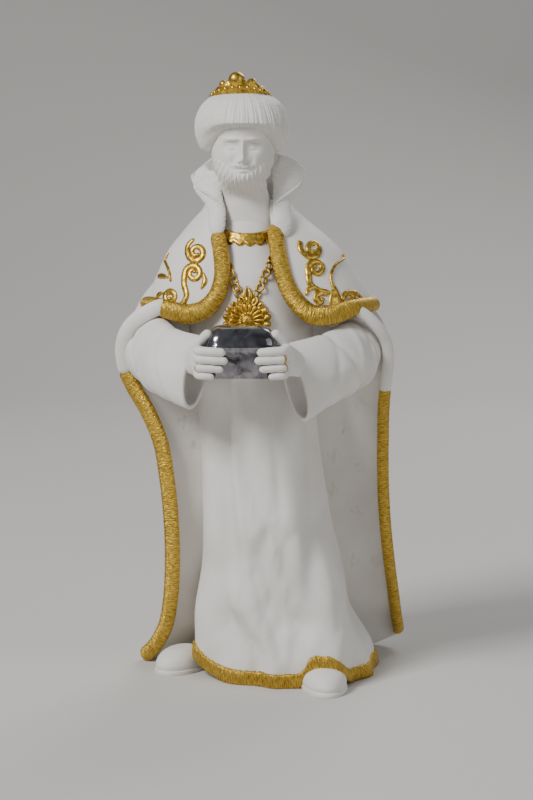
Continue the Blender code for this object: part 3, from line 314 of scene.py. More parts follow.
def gown_point(turn, z):
    """A superellipse round the body at height z, pushed out by the folds. `turn` is 0 in front."""
    cx, cy, half, front, back = through(GOWN_SECTIONS, z)
    sine, cosine = np.sin(turn), np.cos(turn)
    lean = 2 / GOWN_SQUARENESS
    x = cx + half * np.sign(sine) * np.abs(sine) ** lean
    deep = np.where(cosine > 0, front, back)
    y = cy - deep * np.sign(cosine) * np.abs(cosine) ** lean
    facing = np.clip(cosine * 2.5 + 0.5, 0, 1)
    lift = FOLD_DEPTH * strokes(x, z, GOWN_FOLDS) * facing
    ripple = HEM_RIPPLE_DEPTH * np.cos(HEM_RIPPLES * turn + 0.8) * np.exp(-((z / HEM_RIPPLE_TOP) ** 2))
    return x + sine * (lift + ripple), y - cosine * (lift + ripple)


def gown_front(x, z):
    """The depth y of the unfolded front at x and z, from the same superellipse."""
    cx, cy, half, front, _ = through(GOWN_SECTIONS, z)
    across = np.clip(np.abs((x - cx) / half), 0, 0.98)
    return cy - front * (1 - across**GOWN_SQUARENESS) ** (1 / GOWN_SQUARENESS)


def piece(name, grids, finish, node="figure"):
    """One object from closed grids of (points, faces, uv), turned outwards by the sign of their volume."""
    points, faces, texture, first = [], [], [], 0
    for grid_points, grid_faces, grid_uv in grids:
        volume = 0.0
        for f in grid_faces:
            a, b, c = (grid_points[f[:, k]] for k in range(3))
            volume += np.sum(a * np.cross(b, c))
            if f.shape[1] == 4:
                volume += np.sum(a * np.cross(c, grid_points[f[:, 3]]))
        flip = volume < 0
        order = slice(None, None, -1 if flip else 1)
        for f, uv in zip(grid_faces, grid_uv):
            faces += (f[:, order] + first).tolist()
            texture.append(uv[:, order].reshape(-1, 2))
        points.append(grid_points)
        first += len(grid_points)
    mesh = bpy.data.meshes.new(name)
    mesh.from_pydata((np.concatenate(points) * MM).tolist(), [], faces)
    strands = mesh.uv_layers.new(name="strands")
    strands.data.foreach_set("uv", np.concatenate(texture).astype(np.float32).ravel())
    mesh.polygons.foreach_set("use_smooth", np.ones(len(mesh.polygons), bool))
    mesh.materials.append(finish)
    made = bpy.data.objects.new(name, mesh)
    bpy.context.scene.collection.objects.link(made)
    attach(made, "root")
    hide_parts(node)
    return made


def lofted(rings, strip=False):
    """Rows of rings joined by quads, closed at both ends by a fan, or by a strip across a flat section."""
    rows, columns = rings.shape[:2]
    along_rows = np.linalg.norm(np.diff(rings, axis=0), axis=2).mean(axis=1)
    u = np.concatenate([[0], np.cumsum(along_rows)])
    around = np.linalg.norm(np.roll(rings, -1, axis=1) - rings, axis=2).mean(axis=0)
    v = np.concatenate([[0], np.cumsum(around)])
    r, c = np.meshgrid(np.arange(rows - 1), np.arange(columns), indexing="ij")
    d = (c + 1) % columns
    quads = np.stack([r * columns + c, r * columns + d, (r + 1) * columns + d, (r + 1) * columns + c], -1)
    uv = np.stack([np.stack([u[r], v[c]], -1), np.stack([u[r], v[c + 1]], -1),
                   np.stack([u[r + 1], v[c + 1]], -1), np.stack([u[r + 1], v[c]], -1)], -2)
    points = rings.reshape(-1, 3)
    faces, textures = [quads.reshape(-1, 4)], [uv.reshape(-1, 4, 2)]
    last = (rows - 1) * columns
    if strip:
        near = np.arange(columns // 2 - 1)
        far = columns - 1 - near
        low = np.stack([near + 1, near, far, far - 1], -1)
        faces.append(np.concatenate([low, low[:, ::-1] + last]))
        textures.append(np.zeros((2 * len(near), 4, 2)))
    else:
        points = np.vstack([points, rings[0].mean(axis=0), rings[-1].mean(axis=0)])
        c = np.arange(columns)
        d = (c + 1) % columns
        low = np.stack([np.full(columns, rows * columns), d, c], -1)
        high = np.stack([np.full(columns, rows * columns + 1), last + c, last + d], -1)
        faces.append(np.concatenate([low, high]))
        textures.append(np.zeros((2 * columns, 3, 2)))
    return points, faces, textures


turn = np.radians(np.linspace(-180, 180, 260, endpoint=False))
share = np.linspace(0, 1, 165)[:, None]
foot_x, foot_y = gown_point(turn, np.zeros_like(turn))
low = hem_height(foot_x, foot_y)
z = low + share * (GOWN_TOP - low)
x, y = gown_point(turn + 0 * z, z)
piece("gown", [lofted(np.stack([x, y, z], -1))], BISCUIT)

# Gilt hem of the gown
# The hem has a band of carved fur, about 8 mm high and a millimetre proud, gilded all along.
# It passes behind the cloak at both ends.


def shag(u, v, pitch=2.0, seed=0.0):
    """Carved locks between 0 and 1: two ridged waves along u, whose phase drifts with v and slowly with u."""
    drift = 1.1 * np.sin(0.31 * u + seed) + 0.8 * np.sin(0.83 * u + 2.1 * seed) + 0.9 * v
    first = np.abs(np.sin(np.pi * u / pitch / 2 + drift))
    second = np.abs(np.sin(np.pi * u / pitch / 1.27 - 0.7 * drift + 1.9))
    return 0.6 * first + 0.4 * second


turn = np.radians(np.linspace(-112, 104, 620))
foot_x, foot_y = gown_point(turn, np.zeros_like(turn))
low = hem_height(foot_x, foot_y)
arc = np.concatenate([[0], np.cumsum(np.hypot(np.diff(foot_x), np.diff(foot_y)))])
up = np.array([0.0, 0.0, 0.06, 0.18, 0.32, 0.46, 0.60, 0.74, 0.87, 0.96, 1.0, 1.0])
out = np.array([-2.0, 0.9, 1.3, 1.5, 1.6, 1.6, 1.6, 1.5, 1.3, 0.9, 0.3, -2.0])
lock = shag(arc[:, None], 1.6 * up, 2.2)
tall = HEM_BAND + 0.9 * (shag(arc, 0 * arc, 2.6, 1.0) - 0.6)
z = low[:, None] - 0.35 + up * tall[:, None]
x, y = gown_point(turn[:, None] + 0 * z, z)
swell = out + 0.55 * (lock - 0.5) * (out > 0.5)
x = x + np.sin(turn)[:, None] * swell
y = y - np.cos(turn)[:, None] * swell
piece("gown_hem", [lofted(np.stack([x, y, np.maximum(z, 0.05)], -1))], GOLD_FUR)

# Cloak
# A heavy cloak hangs from the shoulders to the ground, open in front. Its lining is stamped with
# small four-petalled flowers. Behind it falls in soft upright folds.

# Height, left edge x and y, right edge x and y, back x and y, depth of the lining behind the edges
CLOAK_SECTIONS = [
    (0, -65.5, 22, 81.5, 52, 8, 66, 6),
    (13, -59, 17, 80.5, 47, 7, 64, 6),
    (32, -53, 9, 77, 35, 5, 61, 8),
    (60, -50, 2, 73.5, 21, 3, 57, 10),
    (95, -51.5, -2, 70.5, 10, 1, 53, 12),
    (123, -55, -3, 69.5, 4, 0, 50, 13),
    (150, -64.5, -6, 69.5, -1, -1, 48, 12),
    (165, -72.5, -10, 72, -6, -1, 47, 11),
    (180, -75, -12, 73, -8, -1, 46, 10),
    (195, -69, -13, 68.5, -9, -1, 44, 8),
    (207, -57, -11, 60, -8, 0, 42, 6),
    (220, -45, -5, 48, -5, 0, 37, 4),
    (236, -30, 2, 28, 2, -3, 27, 1),
]
BACK_FOLDS = 5
BACK_FOLD_DEPTH = 3.4
CORNER_LIFT = 8.0
# Stamped flowers on the lining: x and z seen from the front
FLOWERS = [(56, 150), (47, 136), (41.5, 119), (58, 114), (40.5, 99), (55.5, 86), (52.5, 57), (67, 57),
           (45.5, 45), (-40, 139), (-35.5, 124)]
FLOWER_RADIUS = 3.4
FLOWER_DEPTH = 0.9


def cloak_outside(share, z):
    """Two quarter ovals, from the left edge over the back to the right edge, with a cosine for the folds."""
    xl, yl, xr, yr, xb, yb, _ = through(CLOAK_SECTIONS, z)
    left = share < 0.5
    swing = np.pi * np.where(left, share, 1 - share)
    xe, ye = np.where(left, xl, xr), np.where(left, yl, yr)
    x = xe + (xb - xe) * (1 - np.cos(swing))
    y = ye + (yb - ye) * np.sin(swing)
    hang = np.clip(1 - z / 215, 0, 1) ** 0.8
    fade = np.clip(np.sin(swing) * 1.6 - 0.35, 0, 1)
    lift = BACK_FOLD_DEPTH * hang * fade * np.cos(2 * np.pi * BACK_FOLDS * (share - 0.5) + 0.6 * z / 100)
    side = np.where(left, -1, 1) * np.cos(swing)
    return x + side * lift, y + np.sin(swing) * lift


def cloak_lining(share, z):
    """A line from left edge to right edge, scooped back by a power curve, with each flower pressed in."""
    xl, yl, xr, yr, _, _, recess = through(CLOAK_SECTIONS, z)
    scoop = 1 - np.abs(2 * share - 1) ** 3.5
    x = xl + (xr - xl) * share
    stamp = 0 * (x + z)
    for fx, fz in FLOWERS:
        reach = np.hypot(x - fx, z - fz) / FLOWER_RADIUS
        petal = 0.62 + 0.38 * np.cos(4 * np.arctan2(z - fz, x - fx) + 0.6)
        edge = np.exp(-(((reach - petal) / 0.16) ** 2))
        stamp = stamp + edge + 0.8 * np.exp(-((reach / 0.2) ** 2))
    return x, yl + (yr - yl) * share + recess * scoop + FLOWER_DEPTH * np.clip(stamp, 0, 1.2)


z = np.linspace(0.05, 236, 200)[:, None]
share = np.linspace(0, 1, 145)
inside = 0.004 + 0.992 * share
xo, yo = cloak_outside(share + 0 * z, z + 0 * share)
xi, yi = cloak_lining(inside + 0 * z, z + 0 * share)
x, y = np.hstack([xo, xi[:, ::-1]]), np.hstack([yo, yi[:, ::-1]])
corner = np.exp(-((np.hypot(x - 81, y - 50) / 12) ** 2))
z = z + CORNER_LIFT * corner * np.clip(1 - z / 50, 0, 1)
piece("cloak", [lofted(np.stack([x, y, z], -1), strip=True)], BISCUIT)

# Border of the cloak
# A border of carved fur runs down each free edge. It is gilded as far as the elbow, and from there
# it goes on in white, curling forward round the sleeve.

# The middle of the border down each edge, from the ground to the front of the elbow
CLOAK_EDGES = {
    "right": [(-65.5, 22, 1.5), (-58, 16, 10.5), (-52, 10, 23), (-48.9, 4, 39), (-47.5, 0, 62), (-48, -2, 86),
              (-50, -3, 108), (-53.7, -4, 130), (-60.6, -6, 147.5), (-68, -8.5, 161), (-72, -12, 171.5),
              (-73, -15, 183), (-70.6, -18, 191.5), (-65, -20.5, 198.5), (-57, -22, 203.5), (-48, -21, 207)],
    "left": [(81.5, 52, 9), (79.8, 44, 18), (76.7, 32, 38), (73.6, 20, 58.5), (70.7, 11, 83),
             (69.2, 6, 106.5), (68.8, 2, 129.5), (69, -3, 152), (70, -8, 165), (70.8, -11, 177),
             (69.3, -14, 186), (64.5, -18, 194), (58, -20.5, 200.5), (51, -21.5, 205), (44, -20, 208)],
}
EDGE_WIDTH = {"right": 4.3, "left": 3.3}
EDGE_HEIGHT = 2.4
# The height to which each border is gilded, and how many steps of its line the white part starts below it
EDGE_GILT_TOP = {"right": 171.0, "left": 160.0}
BARE_OVERLAP = 14


def along(points, count):
    """`count` points at even steps along the cubic curve through the given points."""
    points = np.array(points, float)
    steps = np.linalg.norm(np.diff(points, axis=0), axis=1)
    place = np.concatenate([[0], np.cumsum(steps)])
    rows = np.column_stack([place, points])
    return np.stack(through(rows, np.linspace(0, place[-1], count)), axis=-1)


def over(rows, count):
    """`count` values at even steps of the cubic curve through rows of (share, value)."""
    return through(rows, np.linspace(0, 1, count))[0]


def unit(vectors):
    """Each vector divided by its length."""
    return vectors / np.maximum(np.linalg.norm(vectors, axis=-1, keepdims=True), 1e-9)


def roll(path, normals, width, height, sides, carve=0.0, pitch=2.2, seed=0.0, tip=None):
    """An oval cord along a path, its height along one normal or one a point. Locks carve its radius."""
    steps = np.linalg.norm(np.diff(path, axis=0), axis=1)
    arc = np.concatenate([[0], np.cumsum(steps)])
    tangent = unit(np.gradient(path, axis=0))
    across = unit(np.cross(tangent, normals))
    upward = unit(np.cross(across, tangent))
    turn = 2 * np.pi * (np.arange(sides) + 0.5) / sides
    width = np.broadcast_to(width, len(path))[:, None, None]
    height = np.broadcast_to(height, len(path))[:, None, None]
    tip = float(np.max(width)) if tip is None else tip
    near = np.clip(np.minimum(arc, arc[-1] - arc) / max(tip, 1e-6), 0, 1)
    ends = np.sqrt(np.clip(1 - (1 - near) ** 2, 0.02, 1))[:, None, None]
    locks = 1 + carve * (shag(arc[:, None], 3.2 * np.sin(turn - 0.6), pitch, seed) - 0.55)[..., None]
    ring = across[:, None] * np.cos(turn)[:, None] * width + upward[:, None] * np.sin(turn)[:, None] * height
    return lofted(path[:, None] + ring * ends * locks)


for name, points in CLOAK_EDGES.items():
    side = -1 if name == "right" else 1
    path = along(points, 900)
    outward = [0.25 * side, -1.0, 0.1]
    cut = int(np.argmax(path[:, 2] > EDGE_GILT_TOP[name]))
    wide = EDGE_WIDTH[name]
    gilt = roll(path[:cut], outward, wide, EDGE_HEIGHT, 26, 0.08, 1.4, 1.0 + side)
    piece(f"border_{name}", [gilt], GOLD_FUR)
    bare = roll(path[cut - BARE_OVERLAP :], outward, wide * 0.97, EDGE_HEIGHT * 0.95, 26)
    piece(f"border_{name}_bare", [bare], BISCUIT)

# Shoulder cape
# A short cape lies over the shoulders like a bell, open over the chest in two round lobes.
# Behind, its edge runs straight round the back.

CAPE_Y = 2.0
# Height, centre x, half width, depth to the front, depth to the back
CAPE_SECTIONS = [
    (190, 1.0, 63.5, 41.5, 45),
    (206, 1.0, 61.5, 40.5, 44),
    (222, -0.5, 54.0, 35.5, 41),
    (236, -2.0, 45.5, 28.5, 36),
    (244, -3.0, 38.0, 23.5, 31),
    (250, -4.5, 31.5, 20.0, 26),
    (258, -5.5, 23.0, 16.5, 20),
    (264, -5.5, 19.0, 15.0, 17),
]
CAPE_THICKNESS = 3.0
CAPE_NECK = 262.0
# The front edge of each lobe from the neck down, then its lower edge, as x and z seen from the front
CAPE_FRONT = {
    -1: [(-19.5, 262), (-21.5, 246), (-19.5, 234), (-18.8, 223), (-22.0, 212.0)],
    1: [(7.5, 262), (8.0, 249), (10.2, 238.5), (12.3, 228), (15.4, 218), (20.0, 210.0)],
}
CAPE_LOBE = {
    -1: [(-28.8, 205.0), (-36.5, 202.5), (-47.0, 204.0), (-55.0, 205.5)],
    1: [(28.0, 203.0), (38.5, 202.0), (49.0, 204.5), (57.0, 205.5)],
}
# Round the back: degrees from the front, and height
CAPE_BACK = [(100, 203), (122, 197.5), (150, 192.5), (180, 191)]


def cape_point(turn, z, inside=0.0):
    """Half ellipses round the shoulders at height z, smaller by `inside`. `turn` is 0 in front."""
    cx, half, front, back = through(CAPE_SECTIONS, z)
    deep = np.where(np.cos(turn) > 0, front, back) - inside
    x = cx + (half - inside) * np.sin(turn)
    return np.stack([x, CAPE_Y - deep * np.cos(turn), z + 0 * turn], axis=-1)


def cape_turn(x, z):
    """The turn on the bell of a point seen at x and z: the arc sine of its share of the half width."""
    cx, half, _, _ = through(CAPE_SECTIONS, z)
    return math.asin(max(-0.97, min(0.97, (x - cx) / half)))


def cape_normal(turn, z):
    """The outward direction, from the cross product of the slopes round and up."""
    step = 0.01
    around = cape_point(turn + step, z) - cape_point(turn - step, z)
    upward = cape_point(turn, z + step) - cape_point(turn, z - step)
    return unit(np.cross(around, upward))


def cape_hem(side):
    """Turn and height of the lower edge of one half, from its front corner to the middle of the back."""
    lobe = [(abs(cape_turn(x, z)), z) for x, z in [CAPE_FRONT[side][-1], *CAPE_LOBE[side]]]
    return np.array(lobe + [(math.radians(a), z) for a, z in CAPE_BACK])


def cape_half(side, rows, columns):
    """Turn and height over one half: straight mixes between neck and hem, and front edge and back."""
    hem = cape_hem(side)
    share = np.linspace(0, 1, rows)[:, None]
    u = np.linspace(0, 1, columns)
    front = np.array([(z, abs(cape_turn(x, z))) for x, z in CAPE_FRONT[side][::-1]])
    front_z = CAPE_NECK + (front[0, 0] - CAPE_NECK) * share
    start = through(front, front_z)[0]
    hem_turn = hem[0, 0] + (math.pi - hem[0, 0]) * u
    z = CAPE_NECK + (through(hem, hem_turn)[0] - CAPE_NECK) * share
    return side * (start + (math.pi - start) * u), z


left_turn, left_z = cape_half(-1, 42, 84)
right_turn, right_z = cape_half(1, 42, 84)
turn = np.hstack([left_turn, right_turn[:, -2::-1]])
z = np.hstack([left_z, right_z[:, -2::-1]])
rings = np.concatenate([cape_point(turn, z), cape_point(turn, z, CAPE_THICKNESS)[:, ::-1]], axis=1)
piece("cape", [lofted(rings, strip=True)], BISCUIT)

# Gilt fur border of the cape
# A thick roll of carved fur edges the cape from the neck round both lobes and the back.

# Share of its length, and half width there
CAPE_TRIM_WIDTH = [(0, 4.2), (0.06, 4.4), (0.14, 5.4), (0.22, 4.2), (0.5, 4.0),
                   (0.78, 4.2), (0.86, 5.4), (0.94, 4.6), (1, 4.4)]
CAPE_TRIM_HEIGHT = 3.2
halves = []
for side in (-1, 1):
    front = [(side * cape_turn(x, z), z) for x, z in CAPE_FRONT[side][1:-1]]
    halves.append(np.vstack([front, cape_hem(side)]))
left, right = halves
pairs = np.vstack([left, right[-2::-1] * [-1, 1] + [2 * math.pi, 0]])
girth = CAPE_SECTIONS[1][2]
line = along(np.column_stack([-pairs[:, 0] * girth, pairs[:, 1], 0 * pairs[:, 0]]), 1250)
turn, z = line[:, 0] / girth, line[:, 1]
normal = cape_normal(turn, z)
path = cape_point(turn, z) + normal * 0.4
width = over(CAPE_TRIM_WIDTH, len(path))
trim = roll(path, normal, width, CAPE_TRIM_HEIGHT, 26, 0.07, 1.5, 0.4)
piece("cape_border", [trim], GOLD_FUR)

# Scrollwork on the cape
# Raised gilded scrolls fill both lobes: stems that end in tight spirals, and small leaves.

# The eye of each spiral (x, z), its radius, where the stem joins it in degrees, its turns, and its stem
SCROLLS = [
    ((-32.8, 234.5), 4.6, 215, 1.25, [(-34.0, 241.5), (-37.6, 237)]),
    ((-34.2, 223.6), 4.4, 150, -1.25, [(-46.3, 206.4), (-41.0, 207.0), (-38.0, 211.5), (-39.3, 218.5)]),
    ((-46.3, 210.8), 4.0, 270, -1.1, []),
    ((29.1, 236.2), 4.6, 215, 1.25, [(22.4, 241.0), (23.2, 235.6)]),
    ((31.2, 226.1), 4.6, 200, -1.25, [(38.6, 213.6), (33.0, 215.0), (27.8, 218.6)]),
    ((33.4, 210.6), 3.6, 20, 0.9, []),
    ((49.0, 210.0), 3.6, 200, -0.9, []),
]
# Stems and leaves: half width at the start, the middle and the end, and the line
STEMS = [
    ((0.5, 0.9, 0.7), [(-53.0, 233.0), (-50.2, 228.9), (-47.4, 223.5), (-46.4, 218.5)]),
    ((0.5, 0.9, 0.9), [(50.0, 232.8), (46.6, 230.4), (41.1, 227.0), (39.0, 222.5), (41.0, 213.0)]),
    ((4.8, 3.6, 1.2), [(41.4, 205.0), (41.2, 210.5), (41.0, 217.5)]),
    ((1.0, 1.7, 0.5), [(-56.1, 219.8), (-51.5, 221.0), (-47.7, 220.5)]),
    ((0.5, 1.5, 0.6), [(-54.5, 209.0), (-52.9, 211.6), (-50.5, 212.7)]),
    ((0.6, 1.5, 0.5), [(45.1, 211.4), (51.2, 212.8), (56.5, 208.8)]),
    ((0.5, 1.6, 0.4), [(-30.2, 215.5), (-28.2, 219.5), (-28.8, 224.5)]),
    ((0.5, 1.5, 0.4), [(25.4, 212.4), (26.8, 215.6), (31.2, 217.2)]),
]
SCROLL_WIDTH = 1.9
SCROLL_HEIGHT = 1.15


def on_cape(line):
    """A line seen from the front, laid on the bell, with the outward direction there."""
    turn = np.array([cape_turn(x, z) for x, z in line])
    z = np.array([z for _, z in line])
    return cape_point(turn, z), cape_normal(turn, z)


grids = []
for eye, radius, start, turns, stem in SCROLLS:
    share = np.linspace(0, 1, 40)
    angle = math.radians(start) + 2 * math.pi * turns * share
    size = radius * (1 - 0.70 * share)
    curl = np.column_stack([eye[0] + size * np.cos(angle), eye[1] + size * np.sin(angle)])
    line = along([(x, z, 0.0) for x, z in stem + curl.tolist()], 130)[:, :2]
    path, normal = on_cape(line)
    wide = SCROLL_WIDTH * (0.55 + 0.45 * np.sin(np.pi * np.linspace(0.08, 0.94, 130)) ** 0.6)
    grids.append(roll(path, normal, wide, SCROLL_HEIGHT, 12))
    end, facing = on_cape([tuple(line[-1]), tuple(line[-2])])
    bead = end[0] + unit(np.array([[0.0, 0, 1.0], [0, 0, 0], [0, 0, -1.0]])) * 1.1
    grids.append(roll(along(bead, 12), facing[0], 1.5, 1.5, 12, tip=1.5))
for widths, line in STEMS:
    path, normal = on_cape(along([(x, z, 0.0) for x, z in line], 50)[:, :2])
    wide = over(np.column_stack([[0, 0.5, 1], widths]), 50)
    grids.append(roll(path, normal, wide, SCROLL_HEIGHT, 12))
piece("scrolls", grids, GOLD)

# Collar
# A tall flared collar stands open round the neck. Its outside is carved as fur, and its front
# facings run down into the cape's border.

COLLAR_CENTRE = (-5.5, 1.0)
# Share up the collar, radius at the sides, radius at the back, height at the sides, height at the back
COLLAR_PROFILE = [
    (0.0, 39.0, 32.0, 243.0, 241.0),
    (0.2, 31.8, 26.5, 250.0, 249.0),
    (0.4, 25.0, 21.5, 256.5, 257.5),
    (0.55, 22.5, 19.5, 261.5, 266.0),
    (0.7, 25.0, 20.5, 266.0, 275.0),
    (0.85, 29.0, 23.0, 270.0, 283.0),
    (1.0, 31.0, 26.0, 274.5, 290.0),
]
COLLAR_THICKNESS = 2.4
COLLAR_REACH = 137.0
COLLAR_FUR = 0.45
# The middle of each front facing from the bottom up, x, y and z, and its half width
FACINGS = {
    -1: [(-21.5, -21, 243, 5.0), (-21.9, -18, 249, 4.8), (-22.0, -13, 256, 4.8),
         (-23.4, -10.5, 261, 5.0), (-25.6, -7.5, 266.5, 6.6), (-27.6, -5, 271.5, 7.8),
         (-29.0, -3, 276.5, 5.6), (-28.0, -1, 280.0, 2.4)],
    1: [(13.4, -21, 243, 5.4), (13.2, -17, 250, 5.6), (12.8, -12.5, 257, 5.0), (13.2, -9, 263, 5.4),
        (15.2, -6, 269, 7.8), (16.3, -3, 275, 9.0), (14.6, -0.5, 281, 7.0), (11.5, 1.5, 285.5, 2.6)],
}
FACING_HEIGHT = 2.6


def collar_point(turn, share):
    """A trumpet open in front, whose radius and height follow the profile. `turn` is 0 at the back."""
    ahead = np.clip((np.degrees(np.abs(turn)) - 84) / (COLLAR_REACH - 84), 0, 1)
    share = share * (1 - 0.42 * ahead**1.4)
    side_r, back_r, side_z, back_z = through(COLLAR_PROFILE, share)
    side = np.clip(np.sin(np.clip(np.abs(turn), 0, np.pi / 2)), 0, 1) ** 2.5
    radius = back_r + (side_r - back_r) * side
    z = back_z + (side_z - back_z) * side
    radius = radius * (1 - 0.36 * ahead * (1 - share) ** 2)
    z = z - ahead * 3.0
    x = COLLAR_CENTRE[0] + 2.5 * np.clip(1 - share / 0.5, 0, 1) + radius * np.sin(turn)
    y = COLLAR_CENTRE[1] + radius * np.cos(turn)
    return np.stack([x, y, z], axis=-1)


turn = np.radians(np.linspace(-COLLAR_REACH, COLLAR_REACH, 241))
share = np.linspace(0, 1, 50)[:, None]
outside = collar_point(turn + 0 * share, share + 0 * turn)
across = unit(np.cross(np.gradient(outside, axis=0), np.gradient(outside, axis=1)))
across = across * np.sign(across[25, 120, 1])
locks = shag(turn * 30 + 0 * share, 3.0 * share + 0 * turn, 2.2, 0.7)
furred = outside + across * (COLLAR_FUR * (locks - 0.5) * np.sin(np.pi * share) ** 0.4)[..., None]
lining = outside - across * (COLLAR_THICKNESS - 0.9 * share**6)[..., None]
rings = np.concatenate([furred, lining[:, ::-1]], axis=1)
piece("collar", [lofted(rings, strip=True)], FUR)
grids = []
for side, points in FACINGS.items():
    rows = along(points, 220)
    path, wide = rows[:, :3], rows[:, 3]
    grids.append(roll(path, [0.3 * side, -1.0, 0.2], wide, FACING_HEIGHT, 60, 0.06, 1.7, side))
piece("facings", grids, FUR)

# Head
# The face is a plain, calm, bearded one of ordinary proportions: eyes at mid height, nose and mouth
# at thirds below them. The short beard and moustache are combed downwards.

HEAD_AXIS = (-8.0, -7.0)
# Height, shift to the side, half width, depth to the front, depth to the back
HEAD_SECTIONS = [
    (232, 3.5, 16.5, 10.0, 16.0),
    (246, 3.5, 14.2, 8.0, 15.0),
    (258, 2.6, 13.0, 7.5, 14.0),
    (265, 1.4, 12.4, 8.5, 14.0),
    (268.5, 0.6, 12.2, 12.5, 14.0),
    (271.5, 0, 12.4, 17.5, 14.0),
    (275.5, 0, 14.0, 20.3, 14.5),
    (281.5, 0, 15.8, 20.0, 15.5),
    (287.5, 0, 17.2, 19.2, 17.0),
    (293.5, 0, 17.6, 19.3, 18.0),
    (301.5, 0, 17.0, 19.3, 19.0),
    (309.0, 0, 12.0, 15.0, 16.0),
]
# Lift, half width and half height of each feature of the face: across from the nose, height
FACE_FEATURES = [
    (4.2, 1.7, 2.0, 0.0, 284.1),
    (2.6, 1.3, 4.6, 0.0, 288.8),
    (1.5, 1.0, 1.1, 2.2, 283.3),
    (-0.7, 0.6, 0.5, 1.2, 282.2),
    (1.3, 4.3, 1.1, 5.6, 294.7),
    (-2.6, 3.3, 2.0, 5.7, 291.1),
    (1.7, 2.2, 1.25, 5.8, 290.9),
    (0.45, 2.6, 0.35, 5.8, 292.1),
    (-0.45, 2.7, 0.35, 5.8, 292.9),
    (0.3, 2.4, 0.35, 5.8, 289.8),
    (-0.35, 2.6, 0.45, 5.6, 288.8),
    (0.9, 3.6, 3.0, 8.6, 285.8),
    (-0.5, 1.0, 2.6, 5.2, 282.9),
    (1.3, 3.2, 1.1, 2.9, 280.9),
    (0.5, 2.2, 0.5, 0.9, 279.8),
    (-0.9, 3.1, 0.42, 0.0, 279.1),
    (1.0, 2.4, 0.8, 0.0, 278.1),
    (-0.5, 3.0, 0.6, 0.0, 276.6),
    (1.6, 5.0, 3.0, 0.0, 273.5),
]
BEARD_DEPTH = 0.34
BEARD_TOP = 277.5
BEARD_LOW = 264.0


def head_point(turn, z):
    """An oval at height z, with each feature a bump that fades as a bell, mirrored about the nose."""
    shift, half, front, back = through(HEAD_SECTIONS, z)
    deep = np.where(np.cos(turn) > 0, front, back)
    x = half * np.sin(turn)
    y = -deep * np.cos(turn)
    facing = np.clip(np.cos(turn) * 2, 0, 1)
    for lift, wide, high, across, height in FACE_FEATURES:
        bump = lift * np.exp(-(((np.abs(x) - across) / wide) ** 2) - ((z - height) / high) ** 2)
        y = y - bump * facing
    beard_top = BEARD_TOP + 0.75 * np.clip(np.abs(x) - 4, 0, 9)
    jaw = np.clip((beard_top - z) / 1.6, 0, 1) * np.clip((z - BEARD_LOW) / 4, 0, 1)
    lip = np.exp(-(((np.abs(x) - 3.2) / 2.9) ** 2) - ((z - 281.1) / 1.2) ** 2)
    hair = np.clip(jaw + lip, 0, 1) * np.clip(np.cos(turn) * 3 + 1.2, 0, 1)
    comb = np.sin(2.9 * x + 0.9 * np.sin(0.9 * z + 0.5 * x)) + 0.6 * np.sin(5.1 * x - 0.8 * z)
    grow = hair * (0.35 + BEARD_DEPTH * comb)
    x = x + np.sin(turn) * grow
    y = y - np.cos(turn) * grow
    return np.stack([HEAD_AXIS[0] + shift + x, HEAD_AXIS[1] + y, z + 0 * x], axis=-1)


front_turn = np.linspace(-110, 110, 230)
rear_turn = np.linspace(114, 246, 30)
turn = np.radians(np.concatenate([front_turn, rear_turn]))
z = np.concatenate([np.linspace(236, 262, 14, endpoint=False), np.linspace(262, 305, 150)])[:, None]
piece("head", [lofted(head_point(turn + 0 * z, z + 0 * turn))], BISCUIT)

# Fur hat
# A round hat of long fur, which rises over the brow. The hair is carved in locks that fall from
# the crown to the rim and curl under.

HAT_CENTRE = (-8.5, -6.0)
# Share from the rim to the top, radius, height
HAT_PROFILE = [
    (0.0, 13.5, 290.5),
    (0.1, 17.5, 287.3),
    (0.2, 21.3, 288.3),
    (0.33, 24.4, 294.0),
    (0.48, 25.4, 301.5),
    (0.62, 23.9, 308.5),
    (0.76, 19.6, 314.8),
    (0.88, 13.0, 318.6),
    (1.0, 4.0, 320.6),
]
HAT_FRONT_RISE = 27.0
HAT_STRANDS = [(26, 0.42, 2.0, 0.0), (61, 0.28, -1.4, 1.3), (103, 0.24, 2.6, 2.9)]


def hat_point(turn, share):
    """The profile turned round the axis, arched over the brow, with three rows of waves for the strands."""
    radius, z = through(HAT_PROFILE, share)
    front = np.exp(-((np.abs(np.arctan2(np.sin(turn), np.cos(turn))) / 1.0) ** 3))
    z = z + HAT_FRONT_RISE * front * np.clip(1 - np.maximum(share, 0.25) / 0.55, 0, 1) ** 1.2
    fade = np.sin(np.pi * np.clip(share, 0.02, 0.98)) ** 0.5
    hair = 0 * turn
    for count, depth, twist, phase in HAT_STRANDS:
        bend = twist * share + 0.35 * np.sin(3 * turn + phase) + 0.25 * np.sin(7 * share + 5 * turn)
        hair = hair + depth * (np.abs(np.sin(count * turn / 2 + bend + phase)) - 0.8)
    radius = radius + hair * fade
    x = HAT_CENTRE[0] + radius * np.sin(turn)
    return np.stack([x, HAT_CENTRE[1] - radius * np.cos(turn), z], axis=-1)


turn = 2 * np.pi * np.arange(520) / 520
share = np.linspace(0, 1, 96)[:, None]
piece("hat", [lofted(hat_point(turn + 0 * share, share + 0 * turn))], FUR)

# Crown
# A low gilded crown sits on the crest of the hat: a scalloped band with beads, small balls, and one
# great ball in front.

CROWN_CENTRE = (-9.2, -4.5)
CROWN_RADIUS = (14.8, 14.0)
CROWN_BASE = 316.8
CROWN_FRONT_RISE = 4.6
CROWN_HEIGHT = 4.6
CROWN_PEAKS = 12
CROWN_BALLS = [((-11.2, -17.2, 325.8), 4.4), ((-18.2, -14.2, 323.4), 2.3), ((-3.2, -15.0, 324.0), 2.7),
               ((-9.2, 8.0, 318.8), 2.6)]
CROWN_BEAD = 1.25


